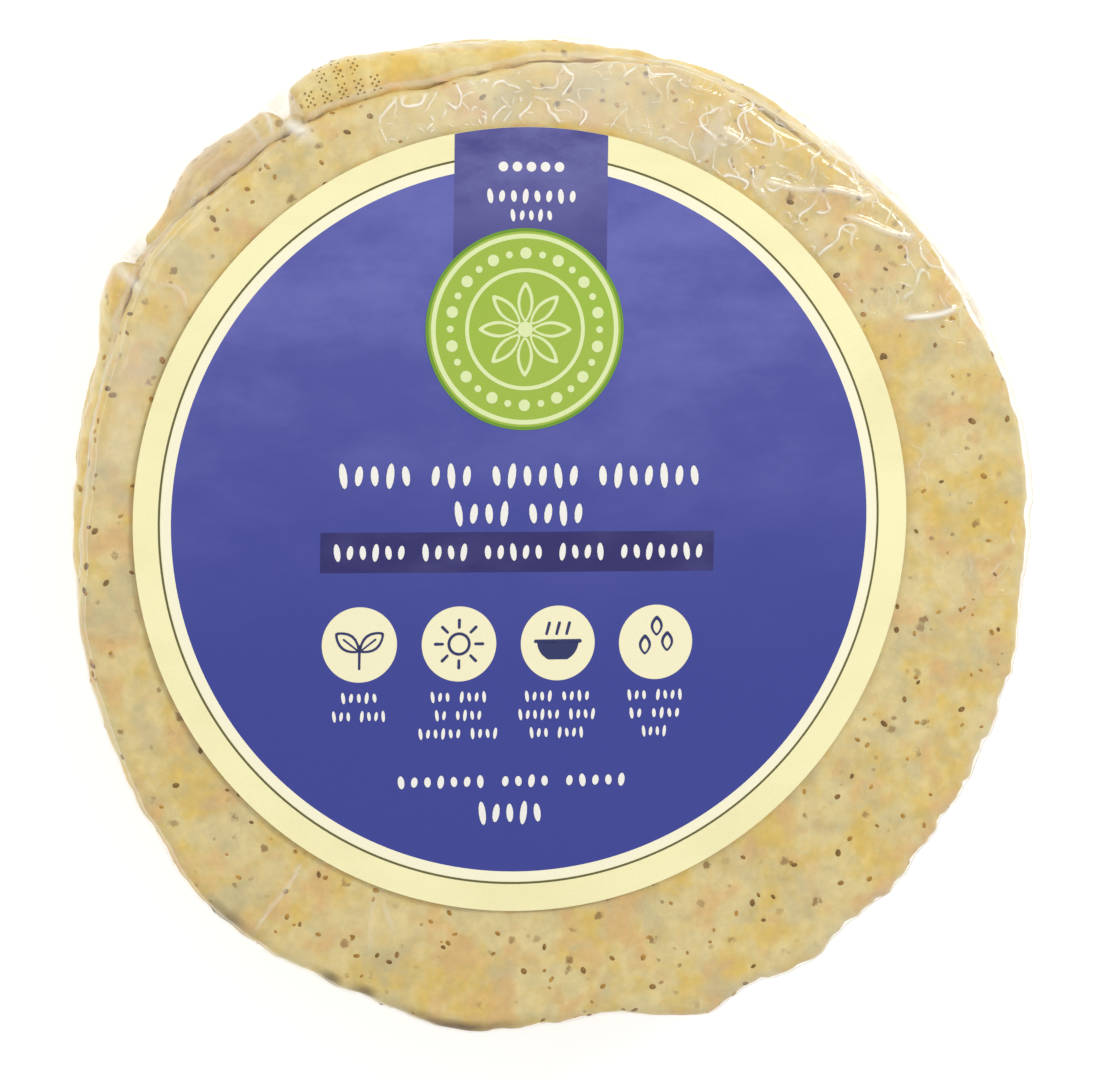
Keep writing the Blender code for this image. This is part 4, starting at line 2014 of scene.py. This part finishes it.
    def print_icons(self) -> None:
        """Four round signs: a sprout, a sun, a bowl and drops."""
        discs = self.ink("sign_discs", self.sign_cream, 1)
        signs = self.ink("sign_marks", self.icon_blue, 2)
        insets = self.ink("sign_insets", self.sign_cream, 3)
        veins = self.ink("sign_veins", self.icon_blue, 4)
        level = self.signs_level
        for place in self.sign_places():
            discs.disc((place, level), 4.8, 64)
        sprout, sun, bowl, drops = self.sign_places()
        stem_top = (sprout, level - 0.9)
        signs.bar((sprout, level - 1.6), 3.2, 0.35, 90)
        for turn in (38, 142):
            signs.petal(stem_top, 2.3, 3.9, turn)
            insets.petal(around(stem_top, 0.4, turn), 1.6, 3.1, turn)
            veins.bar(around(stem_top, 1.5, turn), 2.4, 0.25, turn)
        signs.disc((sun, level), 1.5, 32)
        insets.disc((sun, level), 1.12, 32)
        for turn in range(0, 360, 45):
            signs.bar(around((sun, level), 2.6, turn), 1.3, 0.4, turn)
        half_disc = Ink("bowl", signs.finish, 0)
        half_disc.disc((bowl, level + 0.3), 2.7, 40)
        half_disc.trim(low=level - 2.1, high=level + 0.1)
        join(signs.bm, half_disc.bm)
        signs.bar((bowl, level + 0.25), 6.2, 0.5)
        for across in (-1.3, 0.0, 1.3):
            signs.bar((bowl + across, level + 1.9), 1.8, 0.4, 76)
        for across, up in ((-1.4, -1.6), (1.5, -1.2), (0.1, 0.8)):
            signs.petal((drops + across, level + up), 1.6, 2.6, 90)
            insets.petal((drops + across, level + up + 0.35), 0.9, 1.7, 90)

    def build(self) -> list[bpy.types.Object]:
        """Shape and dress the paper and everything printed on it.

        Returns:
            The finished pieces.
        """
        pieces = [self.make_paper()]
        self.print_fields()
        self.print_seal()
        self.print_marks()
        self.print_icons()
        for ink in self.inks:
            height = self.paper_thickness - self.ink_sink + ink.level * self.ink_step
            self.drape(ink.bm, height, self.ink_step)
            pieces.append(add_piece(ink.name, ink.bm, ink.finish.material(), Slot.INK, sharp_angle=40))
        return pieces


# ---------------------------------------------------------------- the studio


def outlook(direction: float, elevation: float) -> Vector:
    """The way that leads from the pack outwards in a direction and up by an elevation."""
    along, up = around((0, 0), 1, elevation)
    return Vector((*around((0, 0), along, direction), up))


@dataclass(frozen=True)
class SoftLight:
    """A square soft light that faces the pack."""

    name: str
    direction: float
    elevation: float
    distance: float
    size: float
    watts: float

    def build(self, target: Vector) -> None:
        """Hang the light.

        Args:
            target: The place that it faces.
        """
        away = outlook(self.direction, self.elevation)
        lamp = bpy.data.lights.new(self.name, "AREA")
        lamp.shape = "SQUARE"
        lamp.size = self.size
        lamp.energy = self.watts
        holder = bpy.data.objects.new(self.name, lamp)
        holder.location = target + away * self.distance
        holder.rotation_euler = (-away).to_track_quat("-Z", "Y").to_euler()
        bpy.context.scene.collection.objects.link(holder)


@dataclass
class Studio:
    """Pale floor, soft light and a camera that looks down on the label."""

    stack: Stack
    camera_tilt: float = 13.1
    camera_direction: float = 151
    camera_distance: float = 0.58
    lens: float = 150
    aim: Spot = (2.9 * MM, -2.3 * MM)
    world_strength: float = 0.66
    table_light: Colour = (205, 205, 205)
    table_dark: Colour = (201, 201, 201)
    table_glow: float = 0.62
    table_drop: float = 0.2 * MM
    lights: tuple[SoftLight, ...] = (
        SoftLight("key_light", 40, 48, 0.7, 0.16, 1.5),
        SoftLight("fill_light", 140, 42, 0.7, 0.45, 0.85),
    )

    def build(self) -> None:
        """Set up the floor, the world, the lights and the camera."""
        centre = Vector((*self.stack.label_centre, self.stack.height))
        self.make_floor()
        self.make_world()
        for light in self.lights:
            light.build(centre)
        self.make_camera(centre)

    def make_camera(self, target: Vector) -> None:
        """Set up a long lens that looks down, with the label's top upwards.

        Args:
            target: The place that it looks at.
        """
        scene = bpy.context.scene
        scene.view_settings.view_transform = "Standard"
        back = outlook(self.camera_direction, 90 - self.camera_tilt)
        right = (-back).cross(Vector((0, 1, 0))).normalized()
        up = right.cross(-back)
        camera = bpy.data.cameras.new("camera")
        camera.lens = self.lens
        camera.sensor_width = 36
        camera.clip_start = 0.01
        holder = bpy.data.objects.new("camera", camera)
        place = target + back * self.camera_distance + right * self.aim[0] + up * self.aim[1]
        rotation = Matrix((right, up, back)).transposed().to_4x4()
        holder.matrix_world = Matrix.Translation(place) @ rotation
        scene.collection.objects.link(holder)
        scene.camera = holder

    def make_floor(self) -> None:
        """A wide pale light table that the pack lies on."""
        bm = bmesh.new()
        bmesh.ops.create_grid(bm, x_segments=8, y_segments=8, size=2.0)
        mesh = bpy.data.meshes.new("floor")
        bm.to_mesh(mesh)
        bm.free()
        nodes = NodeTree("floor_paper")
        grain = nodes.noise(nodes.place(), 0.4)
        colour = nodes.blend(grain, linear(self.table_light), linear(self.table_dark))
        shader = nodes.add(
            "BsdfPrincipled",
            Base_Color=colour,
            Roughness=0.9,
            Emission_Color=(1, 1, 1, 1),
            Emission_Strength=self.table_glow,
        )
        mesh.materials.append(nodes.finish(shader))
        floor = bpy.data.objects.new("floor", mesh)
        floor.location.z = -self.table_drop
        bpy.context.scene.collection.objects.link(floor)

    def make_world(self) -> None:
        """Even white light from all round."""
        world = bpy.data.worlds.new("studio_white")
        world.use_nodes = True
        background = world.node_tree.nodes["Background"]
        background.inputs["Color"].default_value = (1, 1, 1, 1)
        background.inputs["Strength"].default_value = self.world_strength
        bpy.context.scene.world = world


# ---------------------------------------------------------------- all of it


def build_arepas(stack: Stack) -> list[Arepa]:
    """Build the five arepas.

    Args:
        stack: The stack that they lie in.

    Returns:
        The arepas, from the lowest to the top one.
    """
    golden = dict(pale=(231, 211, 144), yellow=(228, 193, 90), peach=(224, 184, 102), grey=(213, 195, 130))
    finishes = (
        DoughFinish("dough_1", shift=1, **golden),
        DoughFinish("dough_2", shift=2),
        DoughFinish("dough_3", shift=3),
        DoughFinish("dough_4", shift=4, **golden),
        # dough_5's painted shade is a dark brown.
        DoughFinish("dough_5", shift=5, painted_shade_colour=(112, 84, 36)),
    )
    arepas = [Arepa(stack, number, finish) for number, finish in enumerate(finishes)]
    # Painted shade: a tan shade on arepa_4's band between its notches.
    arepas[3].painted_shades = (Bulge(131, 8, 0.9),)
    # Painted shade: a dark brown shade along the top arepa's rim on its lower side.
    arepas[4].painted_shades = (Bulge(227, 3, 0.7), Bulge(241.5, 1.2, 1.0), Bulge(246, 1.5, 0.8), Bulge(258, 6, 1.0))
    arepas[4].columns = 904
    for arepa in arepas:
        arepa.build()
    return arepas


def main() -> None:
    """Build the pack from the inside out, then the studio, and log each piece's triangle count."""
    logging.basicConfig(level=logging.INFO, format="%(message)s")
    stack = Stack()
    arepas = build_arepas(stack)
    chia = SpeckFinish("chia_coat", (112, 80, 22), (154, 114, 42))
    bran = SpeckFinish("bran_coat", (158, 112, 30), (196, 150, 60))
    Specks(stack, arepas, "chia_seeds", chia, 95, 190, 90, (0.42 * MM, 0.66 * MM)).build()
    Specks(stack, arepas, "bran_flakes", bran, 150, 260, 140, (0.3 * MM, 0.6 * MM), seed=2).build()
    film = Film(stack, FilmFinish())
    film.build()
    DateDots(film).build()
    pieces = Label(stack).build()
    LOG.info("label: %d pieces", len(pieces))
    Studio(stack).build()


if __name__ == "__main__":
    main()
